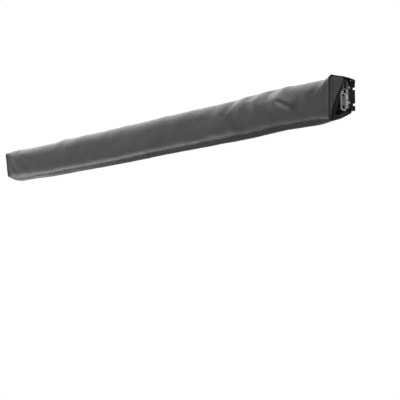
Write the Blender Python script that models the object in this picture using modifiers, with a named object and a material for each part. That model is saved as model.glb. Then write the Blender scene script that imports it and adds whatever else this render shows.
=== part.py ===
"""A pull-out vehicle side awning, stowed in its zipped cover.

Blender 4.5, metres, +Z up. The origin is the centre of the backing rail's rear face, the face that is bolted to
a roof rack. +X runs along the vehicle to the open end of the cover, -Y points away from the vehicle.
Sections are drawn as (out, z) pairs, where out is the distance from the rear face away from the vehicle.
"near" is the end at +X, where the cover is open, and "far" is the end at -X.
"""

import math

import bmesh
import bpy
from mathutils import Matrix, Vector

# Driving sizes: the canopy's width, and the backing rail, an extrusion with two bolt slots in its rear face
CANOPY_WIDTH = 2.0
RAIL_MARGIN = 0.080
RAIL_HEIGHT = 0.108
RAIL_DEPTH = 0.042
RAIL_WALL = 0.002
SLOT_SPACING = 0.060
SLOT_MOUTH = 0.009
SLOT_LIP = 0.0035
SLOT_WIDTH = 0.018
SLOT_DEPTH = 0.012
GROOVE_RADIUS = 0.0034
GROOVE_MOUTH = 0.0032
GROOVE_LIP = 0.002
TAPE_GROOVE_OUT = 0.012
CANOPY_GROOVE_OUT = 0.034
COVER_GROOVE_OUT = 0.030
SCREW_PORT_OUT = 0.036
SCREW_PORT_INSET = 0.026
SCREW_PORT_RADIUS = 0.0025
PORT_WEB = 0.007

# Gaps between pieces
SEAT_GAP = 0.0003
RUNNING_GAP = 0.0005
PIN_GAP = 0.0002

# End plates and the hinge brackets of the spreader arms
END_PLATE_THICKNESS = 0.004
END_SCREW_HEAD_RADIUS = 0.0045
END_SCREW_LENGTH = 0.022
BRACKET_THICKNESS = 0.003
BRACKET_PAST_RAIL = 0.0075
BRACKET_FOOT_INSET = 0.003
BRACKET_STRAP_WIDTH = 0.0122
BRACKET_FLANGE = 0.048
BRACKET_REACH = 0.0265
BRACKET_EAR_CORNER = 0.006
BRACKET_STEP = 0.0002
RIVET_RADIUS = 0.003

# Spreader arms, box section, two stages
ARM_WIDTH = 0.024
ARM_HEIGHT = 0.028
ARM_WALL = 0.002
ARM_DROP = 0.034
ARM_BACK_GAP = 0.002
ARM_PIVOT_INSET = 0.0105
ARM_TUBE_SETBACK = 0.0175
ARM_INNER_WALL = 0.0015
ARM_LENGTH = 0.945
ARM_OVERLAP = 0.050
ARM_EYE_RADIUS = 0.010
ARM_SHOW = 0.0195
ARM_PLUG = 0.038
ARM_COLLAR_LENGTH = 0.032
ARM_COLLAR_WALL = 0.0022
ARM_COLLAR_THIN_WALL = 0.0012
PIVOT_BOLT_RADIUS = 0.004
PIVOT_HEAD_RADIUS = 0.007
PIVOT_HEAD_HEIGHT = 0.003
PIVOT_NUT_RADIUS = 0.0075
PIVOT_NUT_HEIGHT = 0.0063
KNOB_RADIUS = 0.011
KNOB_HEIGHT = 0.013
KNOB_LOBE = 0.0013
KNOB_SHAFT_RADIUS = 0.003

# Front rail, a box over a downward channel in which the legs lie
FRONT_PAST_RAIL = 0.0043
FRONT_WIDTH = 0.030
FRONT_HEIGHT = 0.064
FRONT_WALL = 0.002
FRONT_GAP = 0.013
FRONT_DROP = 0.018
FRONT_BOX_HEIGHT = 0.024
FRONT_RIB = 0.006
CAP_THICKNESS = 0.004
CAP_TONGUE = 0.014
CAP_RIM = 0.0024
CAP_RECESS = 0.0015
CAP_HOLE_RADIUS = 0.0038
CAP_BOLT_RADIUS = 0.0028
CAP_BOLT_RISE = 0.014
CAP_HOLE_DROP = 0.018
CAP_SCREW_DROP = 0.0075
CAP_SCREW_LENGTH = 0.0125
STUD_RADIUS = 0.004
STUD_FLANGE_RADIUS = 0.008
STUD_RISE = 0.013
STUD_SINK = 0.0065

# Legs, round tube, two stages
LEG_RADIUS = 0.0095
LEG_WALL = 0.0015
LEG_INNER_WALL = 0.0013
LEG_LENGTH = 0.935
LEG_OVERLAP = 0.050
LEG_PIVOT_INSET = 0.0303
LEG_PIVOT_RISE = 0.017
LEG_PIN_RADIUS = 0.003
LEG_PIN_HEAD_RADIUS = 0.005
LEG_KNUCKLE_RADIUS = 0.0115
LEG_KNUCKLE_WIDTH = 0.018
LEG_PLUG = 0.034
LEG_SHOW = 0.029
COLLAR_RADIUS = 0.0125
COLLAR_LENGTH = 0.038
FOOT_RADIUS = 0.011
FOOT_LENGTH = 0.026

# Canopy cloth. One end is held in the backing rail and led over the arms, the rest is wound on the front rail.
# The roll is tight at the back and slack at the front, so each corner of a turn has its own growth (out, z).
CANOPY_THICKNESS = 0.0006
CANOPY_LEAD_RISE = 0.001
CANOPY_BEND_OUT = 0.076
CANOPY_BEND_DROP = 0.0005
CANOPY_LEAD_OUT = 0.140
CANOPY_LEAD_DROP = 0.0125
CANOPY_TURNS = 6
CANOPY_FIRST_GAP = 0.0006
CANOPY_GROWTH = ((0.0078, -0.0044), (-0.0017, -0.0014), (-0.0017, 0.0017), (0.0078, 0.0018))
CANOPY_CORNER = 0.002
CANOPY_CORNER_GROWTH = 0.0015
BEAD_RADIUS = 0.0029

# Cover of coated cloth, a C section closed by an end panel at the far end and half closed by a flap at the near end
COVER_THICKNESS = 0.0016
COVER_RISE = 0.0043
COVER_BEND_OUT = 0.080
COVER_BEND_DROP = 0.0015
COVER_FRONT_OUT = 0.154
COVER_FRONT_DROP = 0.011
COVER_FRONT_HANG = 0.052
COVER_SAG_OUT = 0.052
COVER_SAG_HANG = 0.0135
COVER_NEAR_PAST = 0.015
COVER_FAR_PAST = 0.018
COVER_BACK_OUT = 0.044
FLAP_TOP_OUT = 0.077
FLAP_BOTTOM_OUT = 0.139
FLAP_BOW = 0.003
ZIP_WIDTH = 0.006
ZIP_START_OUT = 0.0224
TAPE_THICKNESS = 0.001
SLIDER_LENGTH = 0.016
SLIDER_WIDTH = 0.0115
SLIDER_HEIGHT = 0.0025
SLIDER_INSET = 0.052
PULL_LENGTH = 0.038
PULL_WIDTH = 0.003
PULL_EYE_RADIUS = 0.0022
PULL_BAR_RADIUS = 0.0008

ROUND_SIDES = 24
SMALL_SIDES = 14

# Sizes that follow from the driving ones
RAIL_TOP = RAIL_HEIGHT / 2
RAIL_END = CANOPY_WIDTH / 2 + RAIL_MARGIN
SLOT_Z = SLOT_SPACING / 2
SCREW_PORT_Z = RAIL_TOP - SCREW_PORT_INSET
ARM_BASE_Z = RAIL_TOP - ARM_DROP
ARM_TOP_Z = ARM_BASE_Z + ARM_HEIGHT
ARM_MID_Z = ARM_BASE_Z + ARM_HEIGHT / 2
ARM_BACK_OUT = RAIL_DEPTH + ARM_BACK_GAP
ARM_FRONT_OUT = ARM_BACK_OUT + ARM_WIDTH
ARM_MID_OUT = ARM_BACK_OUT + ARM_WIDTH / 2
ARM_PIVOT_X = RAIL_END - ARM_PIVOT_INSET
ARM_TUBE_END_X = ARM_PIVOT_X - ARM_TUBE_SETBACK
ARM_EYE_X = ARM_PIVOT_X - ARM_LENGTH
ARM_INNER_START_X = ARM_EYE_X + ARM_EYE_RADIUS + 0.0025
ARM_TUBE_START_X = ARM_INNER_START_X + ARM_SHOW
ARM_INNER_END_X = ARM_TUBE_END_X - ARM_PLUG - 0.007
ARM_INNER_WIDTH = ARM_WIDTH - 2 * ARM_WALL - 2 * RUNNING_GAP
ARM_INNER_HEIGHT = ARM_HEIGHT - 2 * ARM_WALL - 2 * RUNNING_GAP
ARM_TRAVEL = ARM_INNER_END_X - ARM_TUBE_START_X - ARM_OVERLAP
KNOB_X = ARM_TUBE_START_X + ARM_COLLAR_LENGTH / 2 - 0.004
BRACKET_END_X = RAIL_END + BRACKET_PAST_RAIL
BRACKET_FOOT_Z = -RAIL_TOP + BRACKET_FOOT_INSET
BRACKET_BACK_OUT = RAIL_DEPTH + SEAT_GAP
FRONT_END = RAIL_END + FRONT_PAST_RAIL
FRONT_BACK_OUT = RAIL_DEPTH + FRONT_GAP
FRONT_TOP_Z = ARM_BASE_Z - FRONT_DROP
FRONT_MID_OUT = FRONT_BACK_OUT + FRONT_WIDTH / 2
FRONT_FRONT_OUT = FRONT_BACK_OUT + FRONT_WIDTH
FRONT_BOTTOM_Z = FRONT_TOP_Z - FRONT_HEIGHT
FRONT_WEB_Z = FRONT_TOP_Z - FRONT_BOX_HEIGHT
CAP_SCREW_Z = FRONT_TOP_Z - CAP_SCREW_DROP
CAP_BOLT_Z = FRONT_BOTTOM_Z + CAP_BOLT_RISE
CAP_HOLE_Z = FRONT_TOP_Z - CAP_HOLE_DROP
LEG_PIVOT_X = FRONT_END - LEG_PIVOT_INSET
LEG_PIVOT_Z = FRONT_BOTTOM_Z + LEG_PIVOT_RISE
LEG_TUBE_TOP_X = LEG_PIVOT_X - LEG_KNUCKLE_RADIUS - 0.001
LEG_INNER_RADIUS = LEG_RADIUS - LEG_WALL - RUNNING_GAP
FOOT_X = LEG_PIVOT_X - LEG_LENGTH
LEG_INNER_START_X = FOOT_X + FOOT_LENGTH
LEG_TUBE_START_X = LEG_INNER_START_X + LEG_SHOW
LEG_INNER_END_X = LEG_TUBE_TOP_X - LEG_PLUG - 0.002
LEG_TRAVEL = LEG_INNER_END_X - LEG_TUBE_START_X - LEG_OVERLAP
COLLAR_X = LEG_TUBE_START_X - COLLAR_LENGTH * 0.62
CANOPY_LEAD_Z = RAIL_TOP + CANOPY_LEAD_RISE
COVER_TOP_Z = RAIL_TOP + COVER_RISE
COVER_NEAR_X = RAIL_END + COVER_NEAR_PAST
COVER_FAR_X = -RAIL_END - COVER_FAR_PAST
SLIDER_X = RAIL_END - SLIDER_INSET
PULL_OUT_TRAVEL = ARM_PIVOT_X - ARM_EYE_X + ARM_TRAVEL - (FRONT_MID_OUT - ARM_MID_OUT)

SIDES = {"near": 1, "far": -1}


def material(name, colour, roughness, metallic):
    made = bpy.data.materials.new(name)
    made.use_nodes = True
    shader = made.node_tree.nodes["Principled BSDF"]
    shader.inputs["Base Color"].default_value = (*colour, 1)
    shader.inputs["Roughness"].default_value = roughness
    shader.inputs["Metallic"].default_value = metallic
    made.diffuse_color = (*colour, 1)
    return made


def new_collection(name, hidden=False):
    made = bpy.data.collections.new(name)
    bpy.context.scene.collection.children.link(made)
    made.hide_render = hidden
    return made


def add_mesh_object(name, mesh, surface=None):
    obj = bpy.data.objects.new(name, mesh)
    PARTS.objects.link(obj)
    if surface is not None:
        obj.data.materials.clear()
        obj.data.materials.append(surface)
    return obj


def arc(centre, radius, start, end, steps):
    """Points on an arc, angles in degrees, both ends included."""
    points = []
    for i in range(steps + 1):
        angle = math.radians(start + (end - start) * i / steps)
        points.append((centre[0] + radius * math.cos(angle), centre[1] + radius * math.sin(angle)))
    return points


def circle(centre, radius, sides=SMALL_SIDES):
    return arc(centre, radius, 0, 360, sides)[:-1]


def rectangle(low, high):
    return [(low[0], low[1]), (high[0], low[1]), (high[0], high[1]), (low[0], high[1])]


def rounded_rectangle(low, high, radius, steps=3):
    corners = [
        ((high[0] - radius, low[1] + radius), -90),
        ((high[0] - radius, high[1] - radius), 0),
        ((low[0] + radius, high[1] - radius), 90),
        ((low[0] + radius, low[1] + radius), 180),
    ]
    return [p for centre, start in corners for p in arc(centre, radius, start, start + 90, steps)]


def filleted(points, radii, steps=4):
    """The open path through points, with each inner corner rounded to its radius."""
    path = [Vector(points[0])]
    for before, corner, after, radius in zip(points, points[1:], points[2:], radii):
        corner = Vector(corner)
        towards = (Vector(before) - corner).normalized()
        onwards = (Vector(after) - corner).normalized()
        half = math.acos(max(-1, min(1, towards.dot(onwards)))) / 2
        reach = radius / math.tan(half)
        centre = corner + (towards + onwards).normalized() * (radius / math.sin(half))
        first = corner + towards * reach - centre
        last = corner + onwards * reach - centre
        turn = first.angle_signed(last)
        for i in range(steps + 1):
            angle = -turn * i / steps
            turned = Matrix.Rotation(angle, 2) @ first
            path.append(centre + turned)
    path.append(Vector(points[-1]))
    return path


def sheet_outline(path, thickness, bead=None):
    """The closed outline of a sheet along path. A bead radius puts a round bead on the sheet's first end."""
    half = thickness / 2
    left, right = [], []
    for i, point in enumerate(path):
        ahead = (path[min(i + 1, len(path) - 1)] - path[max(i - 1, 0)]).normalized()
        side = Vector((-ahead.y, ahead.x))
        left.append(point + side * half)
        right.append(point - side * half)
    if bead is None:
        return left + right[::-1]
    direction = (path[1] - path[0]).normalized()
    heading = math.degrees(math.atan2(direction.y, direction.x))
    opening = math.degrees(math.asin(half / bead))
    ring = arc(path[0], bead, heading - opening, heading - 360 + opening, SMALL_SIDES)
    return [Vector(p) for p in ring] + left[1:] + right[:0:-1]


def solid_from_outlines(name, outlines, low, high, turn, surface):
    """A flat 2D curve with holes, extruded from low to high, then made a welded mesh and turned into place."""
    curve = bpy.data.curves.new(name, "CURVE")
    curve.dimensions = "2D"
    curve.fill_mode = "BOTH"
    curve.extrude = (high - low) / 2
    for outline in outlines:
        spline = curve.splines.new("POLY")
        spline.points.add(len(outline) - 1)
        for point, (u, v) in zip(spline.points, outline):
            point.co = (u, v, 0, 1)
        spline.use_cyclic_u = True
    drawn = bpy.data.objects.new(name + "_outline", curve)
    PARTS.objects.link(drawn)
    depsgraph = bpy.context.evaluated_depsgraph_get()
    mesh = bpy.data.meshes.new_from_object(drawn.evaluated_get(depsgraph))
    bpy.data.objects.remove(drawn)
    bpy.data.curves.remove(curve)
    mesh.transform(turn @ Matrix.Translation((0, 0, (low + high) / 2)))
    shape = bmesh.new()
    shape.from_mesh(mesh)
    bmesh.ops.remove_doubles(shape, verts=shape.verts, dist=1e-6)
    bmesh.ops.recalc_face_normals(shape, faces=shape.faces)
    shape.to_mesh(mesh)
    shape.free()
    drawn = add_mesh_object(name, mesh, surface)
    smooth_round(drawn)
    return drawn


# Turns that carry a drawing plane into the world, each with the extrusion along the axis named
ALONG_X = Matrix(((0, 0, 1, 0), (-1, 0, 0, 0), (0, 1, 0, 0), (0, 0, 0, 1)))
ALONG_Z = Matrix(((1, 0, 0, 0), (0, -1, 0, 0), (0, 0, 1, 0), (0, 0, 0, 1)))
ALONG_OUT = Matrix(((1, 0, 0, 0), (0, 0, -1, 0), (0, 1, 0, 0), (0, 0, 0, 1)))


def bar(name, outlines, ends, surface):
    """A bar along X. Its section is in (out, z)."""
    return solid_from_outlines(name, outlines, min(ends), max(ends), ALONG_X, surface)


def plate_up(name, outlines, low, high, surface):
    """A plate of outline (x, out), standing from height low to height high."""
    return solid_from_outlines(name, outlines, low, high, ALONG_Z, surface)


def plate_out(name, outlines, low, high, surface):
    """A plate of outline (x, z), standing from out low to out high."""
    return solid_from_outlines(name, outlines, low, high, ALONG_OUT, surface)


def mirrored(outline, side):
    """The outline with its first number, an x, taken to the side named."""
    return [(side * u, v) for u, v in outline]


def box(name, low, high, surface):
    """A box between two corners given as (x, out, z)."""
    shape = bmesh.new()
    bmesh.ops.create_cube(shape, size=1)
    centre = [(a + b) / 2 for a, b in zip(low, high)]
    size = [abs(b - a) for a, b in zip(low, high)]
    place = Matrix.Translation((centre[0], -centre[1], centre[2]))
    bmesh.ops.transform(shape, matrix=place @ Matrix.Diagonal((*size, 1)), verts=shape.verts)
    mesh = bpy.data.meshes.new(name)
    shape.to_mesh(mesh)
    shape.free()
    return add_mesh_object(name, mesh, surface)


def turned(name, profile, place, sides, surface):
    """A turned solid. The profile is (radius, height) pairs, top to bottom at +X, and place carries +Z to its axis."""
    mesh = bpy.data.meshes.new(name)
    mesh.from_pydata([(r, 0, h) for r, h in profile], [(i, i + 1) for i in range(len(profile) - 1)], [])
    obj = add_mesh_object(name, mesh)
    screw = obj.modifiers.new("turn", "SCREW")
    screw.axis = "Z"
    screw.steps = sides
    screw.render_steps = sides
    screw.use_merge_vertices = True
    screw.merge_threshold = 0.00001
    finished = applied(obj)
    finished.transform(place)
    obj.data.materials.clear()
    obj.data.materials.append(surface)
    smooth_round(obj)
    return obj


def applied(obj):
    """Bakes an object's modifiers into its mesh, welds it and points its faces out."""
    depsgraph = bpy.context.evaluated_depsgraph_get()
    mesh = bpy.data.meshes.new_from_object(obj.evaluated_get(depsgraph))
    obj.modifiers.clear()
    obj.data = mesh
    shape = bmesh.new()
    shape.from_mesh(mesh)
    bmesh.ops.remove_doubles(shape, verts=shape.verts, dist=1e-6)
    bmesh.ops.recalc_face_normals(shape, faces=shape.faces)
    shape.to_mesh(mesh)
    shape.free()
    return mesh


def smooth_round(obj):
    obj.data.shade_smooth()
    obj.data.set_sharp_from_angle(angle=math.radians(35))


def combine(target, others, operation):
    """A Boolean of target with each other object, which is used up."""
    surface = target.data.materials[0]
    for other in others:
        step = target.modifiers.new(operation.lower(), "BOOLEAN")
        step.operation = operation
        step.solver = "EXACT"
        step.object = other
        applied(target)
        bpy.data.objects.remove(other)
    target.data.materials.clear()
    target.data.materials.append(surface)
    smooth_round(target)
    return target


def axis_place(direction, x, out, z):
    """Carries a turned shape's +Z axis to a direction in the world, at a point given as (x, out, z)."""
    quarter = Vector((0, 0, 1)).rotation_difference(Vector(direction)).to_matrix().to_4x4()
    return Matrix.Translation((x, -out, z)) @ quarter


def button_screw(name, head_radius, head_height, shaft_radius, length, place, surface):
    """A screw whose head stands on z = 0 of its place, with a socket in the head."""
    socket = head_radius * 0.45
    floor = head_height * 0.45
    profile = [
        (0, floor),
        (socket, floor),
        (socket, head_height),
        (head_radius * 0.72, head_height),
        (head_radius, head_height * 0.35),
        (head_radius, 0),
        (shaft_radius, 0),
        (shaft_radius, -length),
        (0, -length),
    ]
    return turned(name, profile, place, SMALL_SIDES, surface)


# Backing rail and its end plates


def bolt_slot(centre_z):
    """Points of one bolt slot, from its lower lip to its upper one."""
    half_mouth = SLOT_MOUTH / 2
    half_width = SLOT_WIDTH / 2
    return [
        (0, centre_z - half_mouth),
        (SLOT_LIP, centre_z - half_mouth),
        (SLOT_LIP, centre_z - half_width),
        (SLOT_DEPTH, centre_z - half_width),
        (SLOT_DEPTH, centre_z + half_width),
        (SLOT_LIP, centre_z + half_width),
        (SLOT_LIP, centre_z + half_mouth),
        (0, centre_z + half_mouth),
    ]


def groove_centre_z():
    """Height of the middle of the upper bead grooves. The lower groove is its mirror image."""
    return RAIL_TOP - GROOVE_LIP - math.sqrt(GROOVE_RADIUS**2 - (GROOVE_MOUTH / 2) ** 2)


def bead_groove(centre_out, upper):
    """Points of a round groove that opens up or down, in the order in which the outline passes it."""
    half = GROOVE_MOUTH / 2
    lift = math.degrees(math.asin(half / GROOVE_RADIUS))
    ring = arc((centre_out, groove_centre_z()), GROOVE_RADIUS, 90 + lift, 450 - lift, 10)
    points = [(centre_out - half, RAIL_TOP), *ring, (centre_out + half, RAIL_TOP)]
    if upper:
        return points
    return [(out, -z) for out, z in points][::-1]


def rail_outline():
    corner = 0.004
    return [
        *arc((corner, -RAIL_TOP + corner), corner, 270, 180, 3),
        *bolt_slot(-SLOT_Z),
        *bolt_slot(SLOT_Z),
        *arc((corner, RAIL_TOP - corner), corner, 180, 90, 3),
        *bead_groove(TAPE_GROOVE_OUT, True),
        *bead_groove(CANOPY_GROOVE_OUT, True),
        *arc((RAIL_DEPTH - 0.001, RAIL_TOP - 0.001), 0.001, 90, 0, 2),
        *arc((RAIL_DEPTH - 0.001, -RAIL_TOP + 0.001), 0.001, 0, -90, 2),
        *bead_groove(COVER_GROOVE_OUT, False),
    ]


def build_backing_rail():
    inner = SLOT_DEPTH + RAIL_WALL
    front = RAIL_DEPTH - RAIL_WALL
    port_low = SCREW_PORT_Z - PORT_WEB / 2
    port_high = SCREW_PORT_Z + PORT_WEB / 2
    under_groove = groove_centre_z() - GROOVE_RADIUS - RAIL_WALL
    back_half = SLOT_Z - SLOT_WIDTH / 2 - RAIL_WALL
    chambers = [
        rounded_rectangle((inner, -port_low), (front, port_low), 0.002, 2),
        rounded_rectangle((inner, port_high), (front, under_groove), 0.002, 2),
        rounded_rectangle((inner, -under_groove), (front, -port_high), 0.002, 2),
        rounded_rectangle((RAIL_WALL, -back_half), (SLOT_DEPTH, back_half), 0.002, 2),
    ]
    ports = [circle((SCREW_PORT_OUT, z), SCREW_PORT_RADIUS) for z in (-SCREW_PORT_Z, SCREW_PORT_Z)]
    bar("backing_rail", [rail_outline(), *chambers, *ports], (-RAIL_END, RAIL_END), BLACK_ALUMINIUM)


def build_end_plate(end, side):
    inner = RAIL_END + SEAT_GAP
    outer = inner + END_PLATE_THICKNESS
    holes = [circle((SCREW_PORT_OUT, z), SCREW_PORT_RADIUS + SEAT_GAP) for z in (-SCREW_PORT_Z, SCREW_PORT_Z)]
    bar(f"end_plate_{end}", [rail_outline(), *holes], (side * inner, side * outer), BLACK_STEEL)
    for level, z in (("lower", -SCREW_PORT_Z), ("upper", SCREW_PORT_Z)):
        place = axis_place((side, 0, 0), side * (outer + SEAT_GAP), SCREW_PORT_OUT, z)
        shaft = SCREW_PORT_RADIUS - PIN_GAP
        name = f"end_plate_screw_{level}_{end}"
        button_screw(name, END_SCREW_HEAD_RADIUS, 0.003, shaft, END_SCREW_LENGTH, place, STEEL)


# Hinge bracket, pivot bolt and spreader arm at one end


def build_arm_bracket(end, side):
    outer = BRACKET_END_X
    inner = outer - BRACKET_THICKNESS
    back = BRACKET_BACK_OUT
    front = back + BRACKET_REACH
    strap = back + BRACKET_STRAP_WIDTH
    lower_ear = ARM_BASE_Z - SEAT_GAP - BRACKET_THICKNESS
    upper_ear = ARM_TOP_Z + SEAT_GAP
    top = upper_ear + BRACKET_THICKNESS - BRACKET_STEP
    web_back = back + BRACKET_STEP
    radius = (strap - web_back) / 2
    web = [
        (web_back, BRACKET_FOOT_Z - BRACKET_STEP),
        *arc((strap - radius, BRACKET_FOOT_Z + radius), radius, -90, 0, 5),
        *arc((strap - 0.003, top - 0.003), 0.003, 0, 90, 3),
        (web_back, top),
    ]
    middle = back + BRACKET_STRAP_WIDTH / 2
    holes = [
        circle((middle + 0.0005, lower_ear - 0.0125), 0.0034),
        circle((middle + 0.0005, lower_ear - 0.0367), 0.0034),
        circle((middle + 0.0005, BRACKET_FOOT_Z + 0.010), 0.0028),
    ]
    bracket = bar(f"arm_bracket_{end}", [web, *holes], (side * inner, side * outer), GALVANISED)
    flange = box(
        "flange",
        (side * (outer - BRACKET_FLANGE), back, BRACKET_FOOT_Z),
        (side * (outer - 0.001), back + BRACKET_THICKNESS, lower_ear + 0.001),
        GALVANISED,
    )
    ear_back = web_back + BRACKET_STEP
    ear_corner = outer - 0.001 - BRACKET_EAR_CORNER
    ear_outline = [
        (outer - 0.001, ear_back),
        *arc((ear_corner, front - BRACKET_EAR_CORNER), BRACKET_EAR_CORNER, 0, 90, 4),
        *arc((ARM_PIVOT_X, ARM_MID_OUT), ARM_WIDTH / 2, 90, 180, 5),
        (ARM_PIVOT_X - ARM_WIDTH / 2, ear_back),
    ]
    pivot_hole = circle((ARM_PIVOT_X, ARM_MID_OUT), PIVOT_BOLT_RADIUS + PIN_GAP)
    ears = []
    for low in (lower_ear, upper_ear):
        outlines = [mirrored(ear_outline, side), mirrored(pivot_hole, side)]
        ears.append(plate_up("ear", outlines, low, low + BRACKET_THICKNESS, GALVANISED))
    cuts = []
    rivet_x = outer - BRACKET_FLANGE + 0.012
    rivet_levels = (("lower", BRACKET_FOOT_Z + 0.012), ("upper", lower_ear - 0.014))
    for _, z in rivet_levels:
        place = axis_place((0, -1, 0), side * rivet_x, back - 0.001, z)
        depth = BRACKET_THICKNESS + 0.002
        profile = [(0, depth), (RIVET_RADIUS, depth), (RIVET_RADIUS, 0), (0, 0)]
        cuts.append(turned("cut", profile, place, SMALL_SIDES, GALVANISED))
    combine(bracket, [flange, *ears], "UNION")
    combine(bracket, cuts, "DIFFERENCE")
    for level, z in rivet_levels:
        place = axis_place((0, -1, 0), side * rivet_x, back + BRACKET_THICKNESS + SEAT_GAP, z)
        stem = RIVET_RADIUS - PIN_GAP
        reach = BRACKET_THICKNESS + SEAT_GAP
        profile = [(0, 0.002), (stem, 0.0018), (RIVET_RADIUS * 1.7, 0.0008), (RIVET_RADIUS * 1.7, 0)]
        profile += [(stem, 0), (stem, -reach), (0, -reach)]
        turned(f"bracket_rivet_{level}_{end}", profile, place, SMALL_SIDES, STEEL)


def build_arm_pivot(end, side):
    head_z = ARM_TOP_Z + 2 * SEAT_GAP + BRACKET_THICKNESS
    nut_top = ARM_BASE_Z - 2 * SEAT_GAP - BRACKET_THICKNESS
    length = head_z - nut_top + PIVOT_NUT_HEIGHT + 0.001
    place = axis_place((0, 0, 1), side * ARM_PIVOT_X, ARM_MID_OUT, head_z)
    button_screw(
        f"arm_pivot_bolt_{end}", PIVOT_HEAD_RADIUS, PIVOT_HEAD_HEIGHT, PIVOT_BOLT_RADIUS, length, place, STEEL
    )
    hexagon = circle((ARM_PIVOT_X, ARM_MID_OUT), PIVOT_NUT_RADIUS, 6)
    hole = circle((ARM_PIVOT_X, ARM_MID_OUT), PIVOT_BOLT_RADIUS + PIN_GAP)
    outlines = [mirrored(hexagon, side), mirrored(hole, side)]
    plate_up(f"arm_pivot_nut_{end}", outlines, nut_top - PIVOT_NUT_HEIGHT, nut_top, STEEL)


def arm_section(width, height, wall):
    low = (ARM_MID_OUT - width / 2, ARM_MID_Z - height / 2)
    high = (ARM_MID_OUT + width / 2, ARM_MID_Z + height / 2)
    hollow_low = (low[0] + wall, low[1] + wall)
    hollow_high = (high[0] - wall, high[1] - wall)
    return [rounded_rectangle(low, high, 0.0016, 2), rounded_rectangle(hollow_low, hollow_high, 0.0007, 2)]


def build_arm(end, side):
    outer = bar(
        f"arm_outer_tube_{end}",
        arm_section(ARM_WIDTH, ARM_HEIGHT, ARM_WALL),
        (side * ARM_TUBE_START_X, side * ARM_TUBE_END_X),
        ALUMINIUM,
    )
    screw_hole = KNOB_SHAFT_RADIUS + SEAT_GAP
    place = axis_place((0, -1, 0), side * KNOB_X, ARM_FRONT_OUT - ARM_WALL - 0.001, ARM_MID_Z)
    depth = ARM_WALL + 0.002
    profile = [(0, depth), (screw_hole, depth), (screw_hole, 0), (0, 0)]
    combine(outer, [turned("cut", profile, place, SMALL_SIDES, ALUMINIUM)], "DIFFERENCE")
    bar(
        f"arm_inner_tube_{end}",
        arm_section(ARM_INNER_WIDTH, ARM_INNER_HEIGHT, ARM_INNER_WALL),
        (side * ARM_INNER_START_X, side * ARM_INNER_END_X),
        ALUMINIUM,
    )
    build_arm_knuckle(end, side)
    build_arm_tip(end, side)
    build_arm_collar(end, side)
    build_arm_knob(end, side)


def build_arm_knuckle(end, side):
    half = ARM_WIDTH / 2
    head = [
        *arc((ARM_PIVOT_X, ARM_MID_OUT), half, -90, 90, 10),
        (ARM_TUBE_END_X + SEAT_GAP, ARM_MID_OUT + half),
        (ARM_TUBE_END_X + SEAT_GAP, ARM_MID_OUT - half),
    ]
    hole = circle((ARM_PIVOT_X, ARM_MID_OUT), PIVOT_BOLT_RADIUS + PIN_GAP)
    outlines = [mirrored(head, side), mirrored(hole, side)]
    knuckle = plate_up(f"arm_knuckle_{end}", outlines, ARM_BASE_Z, ARM_TOP_Z, BLACK_PLASTIC)
    plug_half = half - ARM_WALL - SEAT_GAP
    plug_rise = ARM_HEIGHT / 2 - ARM_WALL - SEAT_GAP
    plug = box(
        "plug",
        (side * (ARM_TUBE_END_X - ARM_PLUG), ARM_MID_OUT - plug_half, ARM_MID_Z - plug_rise),
        (side * (ARM_TUBE_END_X + 0.002), ARM_MID_OUT + plug_half, ARM_MID_Z + plug_rise),
        BLACK_PLASTIC,
    )
    combine(knuckle, [plug], "UNION")


def build_arm_tip(end, side):
    half = ARM_INNER_WIDTH / 2
    rise = ARM_INNER_HEIGHT / 2
    eye = [
        *arc((ARM_EYE_X, ARM_MID_OUT), ARM_EYE_RADIUS, 90, 270, 10),
        (ARM_INNER_START_X - SEAT_GAP, ARM_MID_OUT - half),
        (ARM_INNER_START_X - SEAT_GAP, ARM_MID_OUT + half),
    ]
    hole = circle((ARM_EYE_X, ARM_MID_OUT), STUD_RADIUS + RUNNING_GAP)
    outlines = [mirrored(eye, side), mirrored(hole, side)]
    tip = plate_up(f"arm_tip_eye_{end}", outlines, ARM_MID_Z - rise, ARM_MID_Z + rise, BLACK_PLASTIC)
    plug_half = half - ARM_INNER_WALL - SEAT_GAP
    plug_rise = rise - ARM_INNER_WALL - SEAT_GAP
    plug = box(
        "plug",
        (side * (ARM_INNER_START_X - 0.001), ARM_MID_OUT - plug_half, ARM_MID_Z - plug_rise),
        (side * (ARM_INNER_START_X + 0.025), ARM_MID_OUT + plug_half, ARM_MID_Z + plug_rise),
        BLACK_PLASTIC,
    )
    combine(tip, [plug], "UNION")


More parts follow.
